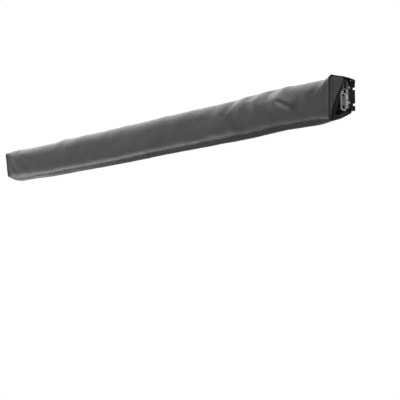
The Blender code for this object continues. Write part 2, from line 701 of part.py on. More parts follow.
def build_arm_collar(end, side):
    mouth = ARM_TUBE_START_X - 0.004
    back = ARM_BACK_OUT - SEAT_GAP - ARM_COLLAR_THIN_WALL
    front = ARM_FRONT_OUT + SEAT_GAP + ARM_COLLAR_WALL + 0.0015
    low = ARM_BASE_Z - SEAT_GAP - ARM_COLLAR_THIN_WALL
    high = ARM_TOP_Z + SEAT_GAP + ARM_COLLAR_WALL
    outline = rounded_rectangle((back, low), (front, high), 0.001, 2)
    lip_hole = rectangle(
        (ARM_MID_OUT - ARM_INNER_WIDTH / 2 - SEAT_GAP, ARM_MID_Z - ARM_INNER_HEIGHT / 2 - SEAT_GAP),
        (ARM_MID_OUT + ARM_INNER_WIDTH / 2 + SEAT_GAP, ARM_MID_Z + ARM_INNER_HEIGHT / 2 + SEAT_GAP),
    )
    collar = bar(
        f"arm_collar_{end}",
        [outline, lip_hole],
        (side * mouth, side * (mouth + ARM_COLLAR_LENGTH)),
        BLACK_PLASTIC,
    )
    seat = box(
        "seat",
        (side * (ARM_TUBE_START_X - SEAT_GAP), ARM_BACK_OUT - SEAT_GAP, ARM_BASE_Z - SEAT_GAP),
        (side * (mouth + ARM_COLLAR_LENGTH + 0.01), ARM_FRONT_OUT + SEAT_GAP, ARM_TOP_Z + SEAT_GAP),
        BLACK_PLASTIC,
    )
    hole = KNOB_SHAFT_RADIUS + SEAT_GAP
    depth = front - ARM_FRONT_OUT + 0.002
    place = axis_place((0, -1, 0), side * KNOB_X, ARM_FRONT_OUT - 0.001, ARM_MID_Z)
    profile = [(0, depth), (hole, depth), (hole, 0), (0, 0)]
    combine(collar, [seat, turned("cut", profile, place, SMALL_SIDES, BLACK_PLASTIC)], "DIFFERENCE")


def build_arm_knob(end, side):
    """A clamping knob with five lobes on a short screw that presses on the inner tube."""
    collar_front = ARM_FRONT_OUT + SEAT_GAP + ARM_COLLAR_WALL + 0.0015
    seat = collar_front + SEAT_GAP
    lobes = []
    steps = 40
    for i in range(steps):
        angle = 2 * math.pi * i / steps
        radius = KNOB_RADIUS - KNOB_LOBE * (1 - math.cos(5 * angle))
        lobes.append((side * KNOB_X + radius * math.cos(angle), ARM_MID_Z + radius * math.sin(angle)))
    knob = plate_out(f"arm_knob_{end}", [lobes], seat, seat + KNOB_HEIGHT, BLACK_PLASTIC)
    tip = ARM_MID_OUT + ARM_INNER_WIDTH / 2 + SEAT_GAP
    place = axis_place((0, -1, 0), side * KNOB_X, tip, ARM_MID_Z)
    length = seat - tip + 0.002
    profile = [(0, length), (KNOB_SHAFT_RADIUS, length), (KNOB_SHAFT_RADIUS, 0), (0, 0)]
    combine(knob, [turned("shaft", profile, place, SMALL_SIDES, BLACK_PLASTIC)], "UNION")


# Front rail with its caps, pins and studs


def front_rail_outline():
    inner_back = FRONT_BACK_OUT + FRONT_WALL
    inner_front = FRONT_FRONT_OUT - FRONT_WALL
    channel_top = FRONT_WEB_Z - FRONT_WALL
    return [
        (FRONT_BACK_OUT, FRONT_BOTTOM_Z),
        (inner_back, FRONT_BOTTOM_Z),
        (inner_back, channel_top),
        (inner_front, channel_top),
        (inner_front, FRONT_BOTTOM_Z),
        (FRONT_FRONT_OUT, FRONT_BOTTOM_Z),
        *arc((FRONT_FRONT_OUT - 0.001, FRONT_TOP_Z - 0.001), 0.001, 0, 90, 2),
        *arc((FRONT_BACK_OUT + 0.001, FRONT_TOP_Z - 0.001), 0.001, 90, 180, 2),
    ]


def drilled(target, radius, depth, place):
    """Cuts a round hole into target, from the place along its axis."""
    profile = [(0, depth), (radius, depth), (radius, 0), (0, 0)]
    surface = target.data.materials[0]
    return combine(target, [turned("cut", profile, place, SMALL_SIDES, surface)], "DIFFERENCE")


def build_front_rail():
    box_top = FRONT_TOP_Z - FRONT_WALL
    rib_back = FRONT_MID_OUT - FRONT_RIB / 2
    rib_front = FRONT_MID_OUT + FRONT_RIB / 2
    chambers = [
        rectangle((FRONT_BACK_OUT + FRONT_WALL, FRONT_WEB_Z), (rib_back, box_top)),
        rectangle((rib_front, FRONT_WEB_Z), (FRONT_FRONT_OUT - FRONT_WALL, box_top)),
    ]
    port = circle((FRONT_MID_OUT, CAP_SCREW_Z), SCREW_PORT_RADIUS)
    rail = bar("front_rail", [front_rail_outline(), *chambers, port], (-FRONT_END, FRONT_END), ALUMINIUM)
    for side in SIDES.values():
        through = FRONT_WIDTH + 0.004
        pin_place = axis_place((0, -1, 0), side * LEG_PIVOT_X, FRONT_BACK_OUT - 0.002, LEG_PIVOT_Z)
        drilled(rail, LEG_PIN_RADIUS + SEAT_GAP, through, pin_place)
        stud_place = axis_place((0, 0, 1), side * ARM_PIVOT_X, FRONT_MID_OUT, FRONT_TOP_Z - STUD_SINK - SEAT_GAP)
        drilled(rail, STUD_RADIUS + SEAT_GAP, STUD_SINK + 0.002, stud_place)


def build_front_rail_end(end, side):
    inner = FRONT_END + SEAT_GAP
    outer = inner + CAP_THICKNESS
    round_end = FRONT_WIDTH / 2 - 0.002
    low_centre_z = FRONT_BOTTOM_Z + round_end
    outline = [
        *arc((FRONT_FRONT_OUT - round_end, low_centre_z), round_end, 0, -90, 6),
        *arc((FRONT_BACK_OUT + round_end, low_centre_z), round_end, -90, -180, 6),
        *arc((FRONT_BACK_OUT + 0.003, FRONT_TOP_Z - 0.003), 0.003, 180, 90, 3),
        *arc((FRONT_FRONT_OUT - 0.003, FRONT_TOP_Z - 0.003), 0.003, 90, 0, 3),
    ]
    holes = [
        circle((FRONT_MID_OUT, CAP_SCREW_Z), SCREW_PORT_RADIUS + SEAT_GAP),
        circle((FRONT_MID_OUT, CAP_HOLE_Z), CAP_HOLE_RADIUS),
    ]
    cap = bar(f"front_rail_cap_{end}", [outline, *holes], (side * inner, side * outer), CAST_ALUMINIUM)
    face = outer - CAP_RECESS
    low_round = round_end - CAP_RIM
    sunk = [
        *arc((FRONT_FRONT_OUT - round_end, low_centre_z), low_round, 0, -90, 6),
        *arc((FRONT_BACK_OUT + round_end, low_centre_z), low_round, -90, -180, 6),
        (FRONT_BACK_OUT + CAP_RIM, FRONT_TOP_Z - CAP_RIM),
        (FRONT_FRONT_OUT - CAP_RIM, FRONT_TOP_Z - CAP_RIM),
    ]
    combine(cap, [bar("sunk", [sunk], (side * face, side * (outer + 0.001)), CAST_ALUMINIUM)], "DIFFERENCE")
    tongue = box(
        "tongue",
        (side * (FRONT_END - CAP_TONGUE), FRONT_BACK_OUT + FRONT_WALL + SEAT_GAP, FRONT_BOTTOM_Z + 0.004),
        (side * (inner + 0.001), FRONT_FRONT_OUT - FRONT_WALL - SEAT_GAP, FRONT_WEB_Z - FRONT_WALL - SEAT_GAP),
        CAST_ALUMINIUM,
    )
    combine(cap, [tongue], "UNION")
    deep = CAP_TONGUE + CAP_THICKNESS + 0.004
    place = axis_place((side, 0, 0), side * (FRONT_END - CAP_TONGUE - 0.001), FRONT_MID_OUT, CAP_BOLT_Z)
    drilled(cap, CAP_BOLT_RADIUS + PIN_GAP, deep, place)
    head = face + SEAT_GAP
    shaft = SCREW_PORT_RADIUS - PIN_GAP
    screw_place = axis_place((side, 0, 0), side * head, FRONT_MID_OUT, CAP_SCREW_Z)
    bolt_place = axis_place((side, 0, 0), side * head, FRONT_MID_OUT, CAP_BOLT_Z)
    button_screw(f"cap_screw_{end}", 0.0042, 0.0015, shaft, CAP_SCREW_LENGTH, screw_place, STEEL)
    button_screw(f"cap_bolt_{end}", 0.0055, 0.0018, CAP_BOLT_RADIUS, 0.0145, bolt_place, BLACK_BOLT)
    build_stud(end, side)
    build_leg_pin(end, side)


def build_stud(end, side):
    """The stud that the eye of the spreader arm comes to rest over."""
    top = STUD_RISE
    profile = [
        (0, top),
        (STUD_RADIUS - 0.001, top),
        (STUD_RADIUS, top - 0.001),
        (STUD_RADIUS, 0.003),
        (STUD_FLANGE_RADIUS, 0.002),
        (STUD_FLANGE_RADIUS, 0),
        (STUD_RADIUS, 0),
        (STUD_RADIUS, -STUD_SINK),
        (0, -STUD_SINK),
    ]
    place = axis_place((0, 0, 1), side * ARM_PIVOT_X, FRONT_MID_OUT, FRONT_TOP_Z + SEAT_GAP)
    turned(f"arm_stud_{end}", profile, place, SMALL_SIDES, STEEL)


def build_leg_pin(end, side):
    length = FRONT_WIDTH + 2 * SEAT_GAP
    profile = [
        (0, 0.002),
        (LEG_PIN_HEAD_RADIUS - 0.001, 0.002),
        (LEG_PIN_HEAD_RADIUS, 0.001),
        (LEG_PIN_HEAD_RADIUS, 0),
        (LEG_PIN_RADIUS, 0),
        (LEG_PIN_RADIUS, -length),
        (0, -length),
    ]
    place = axis_place((0, -1, 0), side * LEG_PIVOT_X, FRONT_FRONT_OUT + SEAT_GAP, LEG_PIVOT_Z)
    turned(f"leg_pivot_pin_{end}", profile, place, SMALL_SIDES, STEEL)


# Telescopic leg at one end


def ring_section(centre, outer, inner, sides=ROUND_SIDES):
    return [circle(centre, outer, sides), circle(centre, inner, sides)]


def build_leg(end, side):
    centre = (FRONT_MID_OUT, LEG_PIVOT_Z)
    bar(
        f"leg_outer_tube_{end}",
        ring_section(centre, LEG_RADIUS, LEG_RADIUS - LEG_WALL),
        (side * LEG_TUBE_START_X, side * LEG_TUBE_TOP_X),
        ALUMINIUM,
    )
    bar(
        f"leg_inner_tube_{end}",
        ring_section(centre, LEG_INNER_RADIUS, LEG_INNER_RADIUS - LEG_INNER_WALL),
        (side * (LEG_INNER_START_X + SEAT_GAP), side * LEG_INNER_END_X),
        ALUMINIUM,
    )
    build_leg_knuckle(end, side)
    build_leg_foot(end, side)
    build_leg_collar(end, side)


def build_leg_knuckle(end, side):
    out_low = FRONT_MID_OUT - LEG_KNUCKLE_WIDTH / 2
    out_high = FRONT_MID_OUT + LEG_KNUCKLE_WIDTH / 2
    neck = LEG_RADIUS - 0.001
    head = [
        *arc((LEG_PIVOT_X, LEG_PIVOT_Z), LEG_KNUCKLE_RADIUS, -130, 130, 12),
        (LEG_TUBE_TOP_X + SEAT_GAP, LEG_PIVOT_Z + neck),
        (LEG_TUBE_TOP_X + SEAT_GAP, LEG_PIVOT_Z - neck),
    ]
    hole = circle((LEG_PIVOT_X, LEG_PIVOT_Z), LEG_PIN_RADIUS + PIN_GAP)
    outlines = [mirrored(head, side), mirrored(hole, side)]
    knuckle = plate_out(f"leg_knuckle_{end}", outlines, out_low, out_high, BLACK_PLASTIC)
    plug_radius = LEG_RADIUS - LEG_WALL - SEAT_GAP
    plug = bar(
        "plug",
        [circle((FRONT_MID_OUT, LEG_PIVOT_Z), plug_radius, ROUND_SIDES)],
        (side * (LEG_TUBE_TOP_X - LEG_PLUG), side * (LEG_TUBE_TOP_X + 0.001)),
        BLACK_PLASTIC,
    )
    combine(knuckle, [plug], "UNION")


def build_leg_foot(end, side):
    plug = LEG_INNER_RADIUS - LEG_INNER_WALL - SEAT_GAP
    profile = [
        (0, FOOT_LENGTH + 0.02),
        (plug, FOOT_LENGTH + 0.02),
        (plug, FOOT_LENGTH),
        (FOOT_RADIUS - 0.002, FOOT_LENGTH),
        (FOOT_RADIUS - 0.001, 0.010),
        (FOOT_RADIUS, 0.006),
        (FOOT_RADIUS, 0.002),
        (FOOT_RADIUS - 0.002, 0),
        (0, 0),
    ]
    place = axis_place((side, 0, 0), side * FOOT_X, FRONT_MID_OUT, LEG_PIVOT_Z)
    turned(f"leg_foot_{end}", profile, place, ROUND_SIDES, RUBBER)


def build_leg_collar(end, side):
    """The twist lock, a ribbed sleeve over the mouth of the outer tube."""
    throat = LEG_INNER_RADIUS + SEAT_GAP
    seat = LEG_RADIUS + SEAT_GAP
    shoulder = LEG_TUBE_START_X - SEAT_GAP - COLLAR_X
    rib = 0.0008
    outside = [(COLLAR_RADIUS - 0.001, COLLAR_LENGTH)]
    rings = 4
    for i in range(rings):
        top = COLLAR_LENGTH - 0.004 - i * 0.008
        outside += [(COLLAR_RADIUS, top), (COLLAR_RADIUS, top - 0.004)]
        if i < rings - 1:
            outside += [(COLLAR_RADIUS - rib, top - 0.005), (COLLAR_RADIUS - rib, top - 0.007)]
    outside.append((COLLAR_RADIUS - 0.002, 0))
    profile = [(seat, COLLAR_LENGTH), *outside, (throat, 0), (throat, shoulder), (seat, shoulder)]
    place = axis_place((side, 0, 0), side * COLLAR_X, FRONT_MID_OUT, LEG_PIVOT_Z)
    turned(f"leg_twist_collar_{end}", [*profile, profile[0]], place, ROUND_SIDES, BLACK_PLASTIC)


# Canopy


def canopy_path():
    """The middle of the cloth: out of its groove, over the arms, down the front, then wound inwards on the rail."""
    bead = (CANOPY_GROOVE_OUT, groove_centre_z())
    over = (CANOPY_GROOVE_OUT, CANOPY_LEAD_Z)
    bend = (CANOPY_BEND_OUT, CANOPY_LEAD_Z - CANOPY_BEND_DROP)
    corner = (CANOPY_LEAD_OUT, CANOPY_LEAD_Z - CANOPY_LEAD_DROP)
    points = [bead, over, bend, corner]
    radii = [0.0008, 0.030, 0.010]
    gap = CANOPY_FIRST_GAP
    core = [
        (FRONT_FRONT_OUT + gap, FRONT_BOTTOM_Z - gap),
        (FRONT_BACK_OUT - gap, FRONT_BOTTOM_Z - gap),
        (FRONT_BACK_OUT - gap, FRONT_TOP_Z + gap),
        (FRONT_FRONT_OUT + gap, FRONT_TOP_Z + gap),
    ]
    for i in range(4 * CANOPY_TURNS + 1):
        left = CANOPY_TURNS - i / 4
        (out, z), (grow_out, grow_z) = core[i % 4], CANOPY_GROWTH[i % 4]
        points.append((out + grow_out * left, z + grow_z * left))
        radii.append(CANOPY_CORNER + CANOPY_CORNER_GROWTH * left)
    return filleted(points, radii[:-1])


def least_gap(path, thickness, apart):
    """The least clear distance between stretches of a sheet that are over `apart` metres of cloth from each other."""
    run = [0]
    for a, b in zip(path, path[1:]):
        run.append(run[-1] + (b - a).length)
    least = 1.0
    for i, point in enumerate(path):
        for j in range(i + 1, len(path) - 1):
            if run[j] - run[i] < apart:
                continue
            a, b = path[j], path[j + 1]
            share = max(0, min(1, (point - a).dot(b - a) / (b - a).length_squared))
            least = min(least, (point - a - (b - a) * share).length)
    return least - thickness, run[-1]


def build_canopy():
    path = canopy_path()
    gap, length = least_gap(path, CANOPY_THICKNESS, 0.1)
    print(f"canopy: {length:.3f} m of cloth, least gap to itself {gap * 1000:.2f} mm")
    outline = sheet_outline(path, CANOPY_THICKNESS, BEAD_RADIUS)
    bar("canopy", [outline], (-CANOPY_WIDTH / 2, CANOPY_WIDTH / 2), CLOTH)


# Cover with its zip


def cover_path():
    """The middle of the cover's skin, from its bead in the rail's lower groove round to the zip."""
    points = [
        (COVER_GROOVE_OUT, -groove_centre_z()),
        (COVER_GROOVE_OUT, -RAIL_TOP - 0.004),
        (COVER_SAG_OUT, FRONT_BOTTOM_Z - COVER_SAG_HANG),
        (COVER_FRONT_OUT, FRONT_BOTTOM_Z - COVER_FRONT_HANG),
        (COVER_FRONT_OUT + 0.001, -RAIL_TOP / 2),
        (COVER_FRONT_OUT - 0.001, RAIL_TOP - COVER_FRONT_DROP),
        (COVER_BEND_OUT, COVER_TOP_Z - COVER_BEND_DROP),
        (ZIP_START_OUT + ZIP_WIDTH + SEAT_GAP, COVER_TOP_Z),
    ]
    return filleted(points, [0.0015, 0.014, 0.017, 0.30, 0.013, 0.060])


def build_cover():
    path = cover_path()
    bar("cover_skin", [sheet_outline(path, COVER_THICKNESS, BEAD_RADIUS)], (COVER_FAR_X, COVER_NEAR_X), COATED_CLOTH)
    around = beyond(path, COVER_BACK_OUT)
    panel_x = COVER_FAR_X - SEAT_GAP
    bar("cover_end_panel", [around], (panel_x - COVER_THICKNESS, panel_x), COATED_CLOTH)
    build_end_flap(path)


def beyond(path, out):
    """The stretch of an open path that lies further out than a distance, cut exactly there at both ends."""
    stretch = [p for p in path if p.x > out]
    first, last = path.index(stretch[0]), path.index(stretch[-1])
    cuts = []
    for outside, inside in ((path[first - 1], stretch[0]), (path[last + 1], stretch[-1])):
        cuts.append(outside.lerp(inside, (out - outside.x) / (inside.x - outside.x)))
    return [cuts[0], *stretch, cuts[1]]


def build_end_flap(path):
    """The flap sewn to the cover's front and top edges. Its free edge runs down in a shallow curve."""
    upper = [p for p in beyond(path, FLAP_TOP_OUT) if p.y > 0 or p.x > FLAP_BOTTOM_OUT]
    top, bottom = upper[-1], upper[0]
    middle = (top + bottom) / 2 + Vector((FLAP_BOW, FLAP_BOW))
    steps = 8
    free = []
    for i in range(1, steps):
        down = i / steps
        free.append(top * (1 - down) ** 2 + middle * (2 * down * (1 - down)) + bottom * down**2)
    start = COVER_NEAR_X + SEAT_GAP
    bar("cover_end_flap", [[*upper, *free]], (start, start + COVER_THICKNESS), COATED_CLOTH)


def build_zip():
    bead = (TAPE_GROOVE_OUT, groove_centre_z())
    path = filleted([bead, (TAPE_GROOVE_OUT, COVER_TOP_Z), (ZIP_START_OUT - SEAT_GAP, COVER_TOP_Z)], [0.0015])
    tape_ends = (COVER_FAR_X + 0.02, COVER_NEAR_X - 0.02)
    bar("zip_tape", [sheet_outline(path, TAPE_THICKNESS, BEAD_RADIUS)], tape_ends, COATED_CLOTH)
    low = (ZIP_START_OUT, COVER_TOP_Z - 0.001)
    high = (ZIP_START_OUT + ZIP_WIDTH, COVER_TOP_Z + 0.0013)
    bar("zip_chain", [rounded_rectangle(low, high, 0.0008, 2)], tape_ends, BLACK_PLASTIC)


def build_zip_slider():
    middle = ZIP_START_OUT + ZIP_WIDTH / 2
    base = COVER_TOP_Z + 0.0013 + SEAT_GAP
    top = base + SLIDER_HEIGHT
    half_length = SLIDER_LENGTH / 2
    half_width = SLIDER_WIDTH / 2
    shield = [
        (SLIDER_X - half_length, middle - half_width * 0.7),
        (SLIDER_X - half_length + 0.002, middle - half_width),
        (SLIDER_X + half_length - 0.002, middle - half_width * 0.8),
        (SLIDER_X + half_length, middle - half_width * 0.45),
        (SLIDER_X + half_length, middle + half_width * 0.45),
        (SLIDER_X + half_length - 0.002, middle + half_width * 0.8),
        (SLIDER_X - half_length + 0.002, middle + half_width),
        (SLIDER_X - half_length, middle + half_width * 0.7),
    ]
    slider = plate_up("zip_slider", [shield], base, top, STEEL)
    ear = 0.001
    gap = PULL_WIDTH / 2 + SEAT_GAP
    bar_z = pull_bar_z()
    pieces = []
    for sign in (-1, 1):
        near = middle + sign * gap
        far = near + sign * ear
        pieces.append(
            box(
                "ear",
                (SLIDER_X - 0.0015, min(near, far), top - 0.0005),
                (SLIDER_X + 0.0015, max(near, far), bar_z + 0.0015),
                STEEL,
            )
        )
    length = 2 * gap + ear
    place = axis_place((0, -1, 0), SLIDER_X, middle - length / 2, bar_z)
    profile = [(0, length), (PULL_BAR_RADIUS, length), (PULL_BAR_RADIUS, 0), (0, 0)]
    pieces.append(turned("bar", profile, place, 10, STEEL))
    combine(slider, pieces, "UNION")


def pull_bar_z():
    return COVER_TOP_Z + 0.0013 + SEAT_GAP + SLIDER_HEIGHT + PULL_EYE_RADIUS + SEAT_GAP


def build_zip_pull():
    middle = ZIP_START_OUT + ZIP_WIDTH / 2
    bar_z = pull_bar_z()
    half = 0.001
    lift = math.degrees(math.asin(half / PULL_EYE_RADIUS))
    tail = SLIDER_X - PULL_LENGTH
    side_view = [
        *arc((SLIDER_X, bar_z), PULL_EYE_RADIUS, 180 - lift, -180 + lift, 12),
        (tail + 0.001, bar_z - half),
        (tail, bar_z),
        (tail + 0.001, bar_z + half),
    ]
    hole = circle((SLIDER_X, bar_z), PULL_BAR_RADIUS + SEAT_GAP, 10)
    plate_out("zip_pull", [side_view, hole], middle - PULL_WIDTH / 2, middle + PULL_WIDTH / 2, STEEL)


for leftover in list(bpy.data.objects):
    bpy.data.objects.remove(leftover)

PARTS = new_collection("vehicle_side_awning")
BLACK_ALUMINIUM = material("black anodised aluminium", (0.018, 0.018, 0.019), 0.42, 0.7)
BLACK_STEEL = material("black powder coated steel", (0.015, 0.015, 0.016), 0.5, 0.2)
GALVANISED = material("zinc plated steel", (0.52, 0.53, 0.55), 0.38, 1.0)
ALUMINIUM = material("satin aluminium", (0.6, 0.61, 0.62), 0.35, 1.0)
CAST_ALUMINIUM = material("tumbled cast aluminium", (0.5, 0.5, 0.51), 0.45, 1.0)
STEEL = material("stainless steel", (0.62, 0.61, 0.6), 0.28, 1.0)
BLACK_BOLT = material("black oxide steel", (0.02, 0.02, 0.021), 0.4, 0.8)
BLACK_PLASTIC = material("black nylon", (0.02, 0.02, 0.021), 0.5, 0.0)
RUBBER = material("black rubber", (0.025, 0.025, 0.025), 0.8, 0.0)
CLOTH = material("charcoal ripstop", (0.06, 0.062, 0.068), 0.85, 0.0)
COATED_CLOTH = material("black coated polyester", (0.04, 0.04, 0.043), 0.45, 0.0)

build_backing_rail()
build_front_rail()
build_canopy()
build_cover()
build_zip()
build_zip_slider()
build_zip_pull()
for end_name, end_side in SIDES.items():
    build_end_plate(end_name, end_side)
    build_arm_bracket(end_name, end_side)
    build_arm_pivot(end_name, end_side)
    build_arm(end_name, end_side)
    build_front_rail_end(end_name, end_side)
    build_leg(end_name, end_side)
for size, value in (
    ("front rail travel", PULL_OUT_TRAVEL),
    ("arm travel", ARM_TRAVEL),
    ("leg travel", LEG_TRAVEL),
    ("arm pivot x", ARM_PIVOT_X),
    ("arm pivot out", ARM_MID_OUT),
    ("arm middle z", ARM_MID_Z),
    ("knob x", KNOB_X),
    ("leg pivot x", LEG_PIVOT_X),
    ("leg pivot out", FRONT_MID_OUT),
    ("leg pivot z", LEG_PIVOT_Z),
    ("leg collar x", COLLAR_X),
    ("pull bar z", pull_bar_z()),
):
    print(f"{size} {value:.5f} m")
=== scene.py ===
import math

import bmesh
import bpy
from mathutils import Matrix, Vector, noise


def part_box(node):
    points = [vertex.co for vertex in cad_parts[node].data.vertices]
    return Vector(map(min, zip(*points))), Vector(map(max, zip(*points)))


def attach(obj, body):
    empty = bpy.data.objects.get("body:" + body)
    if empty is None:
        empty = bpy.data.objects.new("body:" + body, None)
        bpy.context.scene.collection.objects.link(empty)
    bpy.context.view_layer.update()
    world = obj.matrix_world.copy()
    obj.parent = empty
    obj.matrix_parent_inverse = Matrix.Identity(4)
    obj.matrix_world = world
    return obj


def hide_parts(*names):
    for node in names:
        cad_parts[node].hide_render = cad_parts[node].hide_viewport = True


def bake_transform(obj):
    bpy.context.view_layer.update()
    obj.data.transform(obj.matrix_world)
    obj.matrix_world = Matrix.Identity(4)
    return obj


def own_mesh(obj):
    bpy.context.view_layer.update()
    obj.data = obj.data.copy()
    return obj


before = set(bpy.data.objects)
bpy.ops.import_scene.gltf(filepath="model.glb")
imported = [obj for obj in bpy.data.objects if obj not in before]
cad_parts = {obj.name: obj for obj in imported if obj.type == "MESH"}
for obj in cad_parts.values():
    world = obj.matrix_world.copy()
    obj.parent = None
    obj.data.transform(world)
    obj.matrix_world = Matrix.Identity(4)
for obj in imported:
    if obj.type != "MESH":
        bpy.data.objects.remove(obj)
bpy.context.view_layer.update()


# The view and the studio. The camera stands where the photographer stood, low and ahead of the open end.
# The floor is as far below as the feet of the legs reach, and large soft lamps stand for a plain studio.
LENS = 94.5
CAMERA_PLACE = (3.54, -2.939, -0.85)
CAMERA_YAW = 48.45
CAMERA_PITCH = 7.03
FLOOR_Z = -1.765


def linear(hex_colour):
    """An sRGB hex colour as the linear values that a shader takes."""
    values = [int(hex_colour[i : i + 2], 16) / 255 for i in (1, 3, 5)]
    return [v / 12.92 if v <= 0.04045 else ((v + 0.055) / 1.055) ** 2.4 for v in values] + [1.0]


def put(tree, kind, inputs=None, **settings):
    """Adds one node. Settings are its own, inputs are values or the outputs that it is joined to."""
    made = tree.nodes.new("ShaderNode" + kind)
    for name, value in settings.items():
        setattr(made, name, value)
    for name, value in (inputs or {}).items():
        if isinstance(value, bpy.types.NodeSocket):
            tree.links.new(value, made.inputs[name])
        else:
            made.inputs[name].default_value = value
    return made


def new_material(name):
    """A material with its node tree and its one shader."""
    made = bpy.data.materials.new(name)
    made.use_nodes = True
    return made, made.node_tree, made.node_tree.nodes["Principled BSDF"]


def add_object(name, data):
    made = bpy.data.objects.new(name, data)
    bpy.context.scene.collection.objects.link(made)
    return made


def add_shape(name, shape, finish):
    """Turns a finished bmesh into an object with one finish."""
    mesh = bpy.data.meshes.new(name)
    shape.to_mesh(mesh)
    shape.free()
    mesh.materials.append(finish)
    return add_object(name, mesh)


scene = bpy.context.scene
scene.view_settings.view_transform = "Standard"
camera = add_object("camera", bpy.data.cameras.new("camera"))
camera.data.lens = LENS
camera.data.sensor_width = 36
camera.data.clip_end = 60
camera.location = CAMERA_PLACE
camera.rotation_euler = (math.radians(90 + CAMERA_PITCH), 0, math.radians(CAMERA_YAW))
scene.camera = camera

# What the camera sees past the part, or mirrored in it, is white. Everything else is lit by a dim grey room.
world = bpy.data.worlds.new("studio")
scene.world = world
world.use_nodes = True
tree = world.node_tree
tree.nodes.clear()
path = put(tree, "LightPath")
looked_at = put(
    tree, "Math", {0: path.outputs["Is Camera Ray"], 1: path.outputs["Is Transmission Ray"]}, operation="MAXIMUM"
)
seen = put(tree, "Math", {0: looked_at.outputs[0], 1: path.outputs["Is Glossy Ray"]}, operation="MAXIMUM")
room = put(tree, "Background", {"Color": linear("#d6d8dc"), "Strength": 0.28})
white = put(tree, "Background", {"Color": linear("#ffffff"), "Strength": 1.0})
mixed = put(tree, "MixShader", {0: seen.outputs[0], 1: room.outputs[0], 2: white.outputs[0]})
put(tree, "OutputWorld", {"Surface": mixed.outputs[0]})

# Each lamp has its place, its width and height, its power, how far its light fans out in degrees, and its aim
for name, place, width, height, power, fan, aim in (
    ("lamp_over", (-0.2, -0.9, 2.8), 3.4, 3.0, 70, 180, (0, -0.1, 0)),
    ("lamp_far_high", (-3.2, 0.9, 2.6), 4.0, 3.0, 64, 180, (0.1, -0.1, 0)),
    ("lamp_far_shoulder", (-3.1, -1.4, 2.5), 2.4, 2.4, 20, 180, (0.3, -0.1, 0)),
    ("lamp_far_low", (-2.35, 0.0, -0.92), 1.0, 0.6, 5, 180, (-1.0, -0.14, -0.1)),
    ("lamp_front_low", (-3.6, -2.5, -1.25), 3.2, 0.9, 7.5, 56, (-0.2, -0.14, -0.1)),
    ("lamp_front_far", (-3.0, -3.6, 1.0), 1.8, 1.0, 5, 180, (0.2, -0.14, 0)),
    ("lamp_front", (1.0, -3.8, 0.9), 2.4, 2.0, 14, 180, (0.3, -0.1, 0)),
    ("lamp_open_end", (3.7, -2.3, -0.5), 1.2, 1.2, 2.4, 60, (1.09, -0.08, 0)),
    ("lamp_end_side", (3.9, -0.35, 0.6), 0.6, 1.0, 8, 180, (1.09, -0.12, 0)),
):
    lamp = bpy.data.lights.new(name, "AREA")
    lamp.shape = "RECTANGLE"
    lamp.size = width
    lamp.size_y = height
    lamp.energy = power
    lamp.spread = math.radians(fan)
    holder = add_object(name, lamp)
    holder.visible_camera = False
    holder.location = place
    holder.rotation_euler = (Vector(aim) - Vector(place)).to_track_quat("-Z", "Y").to_euler()

shape = bmesh.new()
bmesh.ops.create_grid(shape, x_segments=1, y_segments=1, size=4.5)
bmesh.ops.translate(shape, verts=shape.verts, vec=(0, -0.8, FLOOR_Z))
paper, tree, shader = new_material("pale floor paper")
shader.inputs["Base Color"].default_value = linear("#d9d9d9")
shader.inputs["Roughness"].default_value = 0.9
floor = add_shape("floor", shape, paper)


# Backing rail: a 2.16 m extrusion of 6063 aluminium with two bolt slots in its rear, etched and anodised black.
# Its die lines run along it, so the satin shine is drawn out lengthwise.
def two_tones(tree, factor, dark, light, start=0.0, end=1.0):
    """A colour that goes from one sRGB tone to another as a pattern goes from start to end."""
    tone = put(tree, "ValToRGB", {"Fac": factor})
    for element, place, colour in ((0, start, dark), (1, end, light)):
        tone.color_ramp.elements[element].position = place
        tone.color_ramp.elements[element].color = linear(colour)
    return tone.outputs["Color"]


def drifting(tree, factor, low, high):
    """A roughness between two values. A noise pattern lies mostly between 0.3 and 0.7."""
    return put(tree, "MapRange", {"Value": factor, "From Min": 0.3, "From Max": 0.7, "To Min": low, "To Max": high})


def grained(name, dark, light, roughness, metallic, grain, stretch=(1, 1, 1), bump=0.00002, shine=0.5):
    """A finish whose tone and gloss drift over a grain of a real size in metres, stretched along an axis."""
    made, tree, shader = new_material(name)
    shader.inputs["Metallic"].default_value = metallic
    shader.inputs["Specular IOR Level"].default_value = shine
    place = put(tree, "TexCoord")
    drawn = put(tree, "Mapping", {"Vector": place.outputs["Object"], "Scale": stretch})
    fine = put(tree, "TexNoise", {"Vector": drawn.outputs[0], "Scale": 1 / grain, "Detail": 4.0, "Roughness": 0.6})
    broad = put(tree, "TexNoise", {"Vector": place.outputs["Object"], "Scale": 14.0, "Detail": 3.0})
    both = put(tree, "Math", {0: fine.outputs["Fac"], 1: broad.outputs["Fac"]}, operation="MULTIPLY")
    tone = two_tones(tree, both.outputs[0], dark, light, 0.12, 0.42)
    gloss = drifting(tree, fine.outputs["Fac"], *roughness)
    relief = put(tree, "Bump", {"Height": fine.outputs["Fac"], "Strength": 0.6, "Distance": bump})
    tree.links.new(tone, shader.inputs["Base Color"])
    tree.links.new(gloss.outputs[0], shader.inputs["Roughness"])
    tree.links.new(relief.outputs[0], shader.inputs["Normal"])
    return made


def dress(finish, *nodes):
    """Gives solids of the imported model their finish."""
    for node in nodes:
        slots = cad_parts[node].data.materials
        slots.clear()
        slots.append(finish)


# Die lines are about 0.4 mm apart, drawn at 0.9 mm so that they show
dress(
    grained("black anodised aluminium", "#131315", "#1e1e21", (0.30, 0.46), 0.75, 0.0009, (0.02, 1, 1)),
    "backing_rail",
)


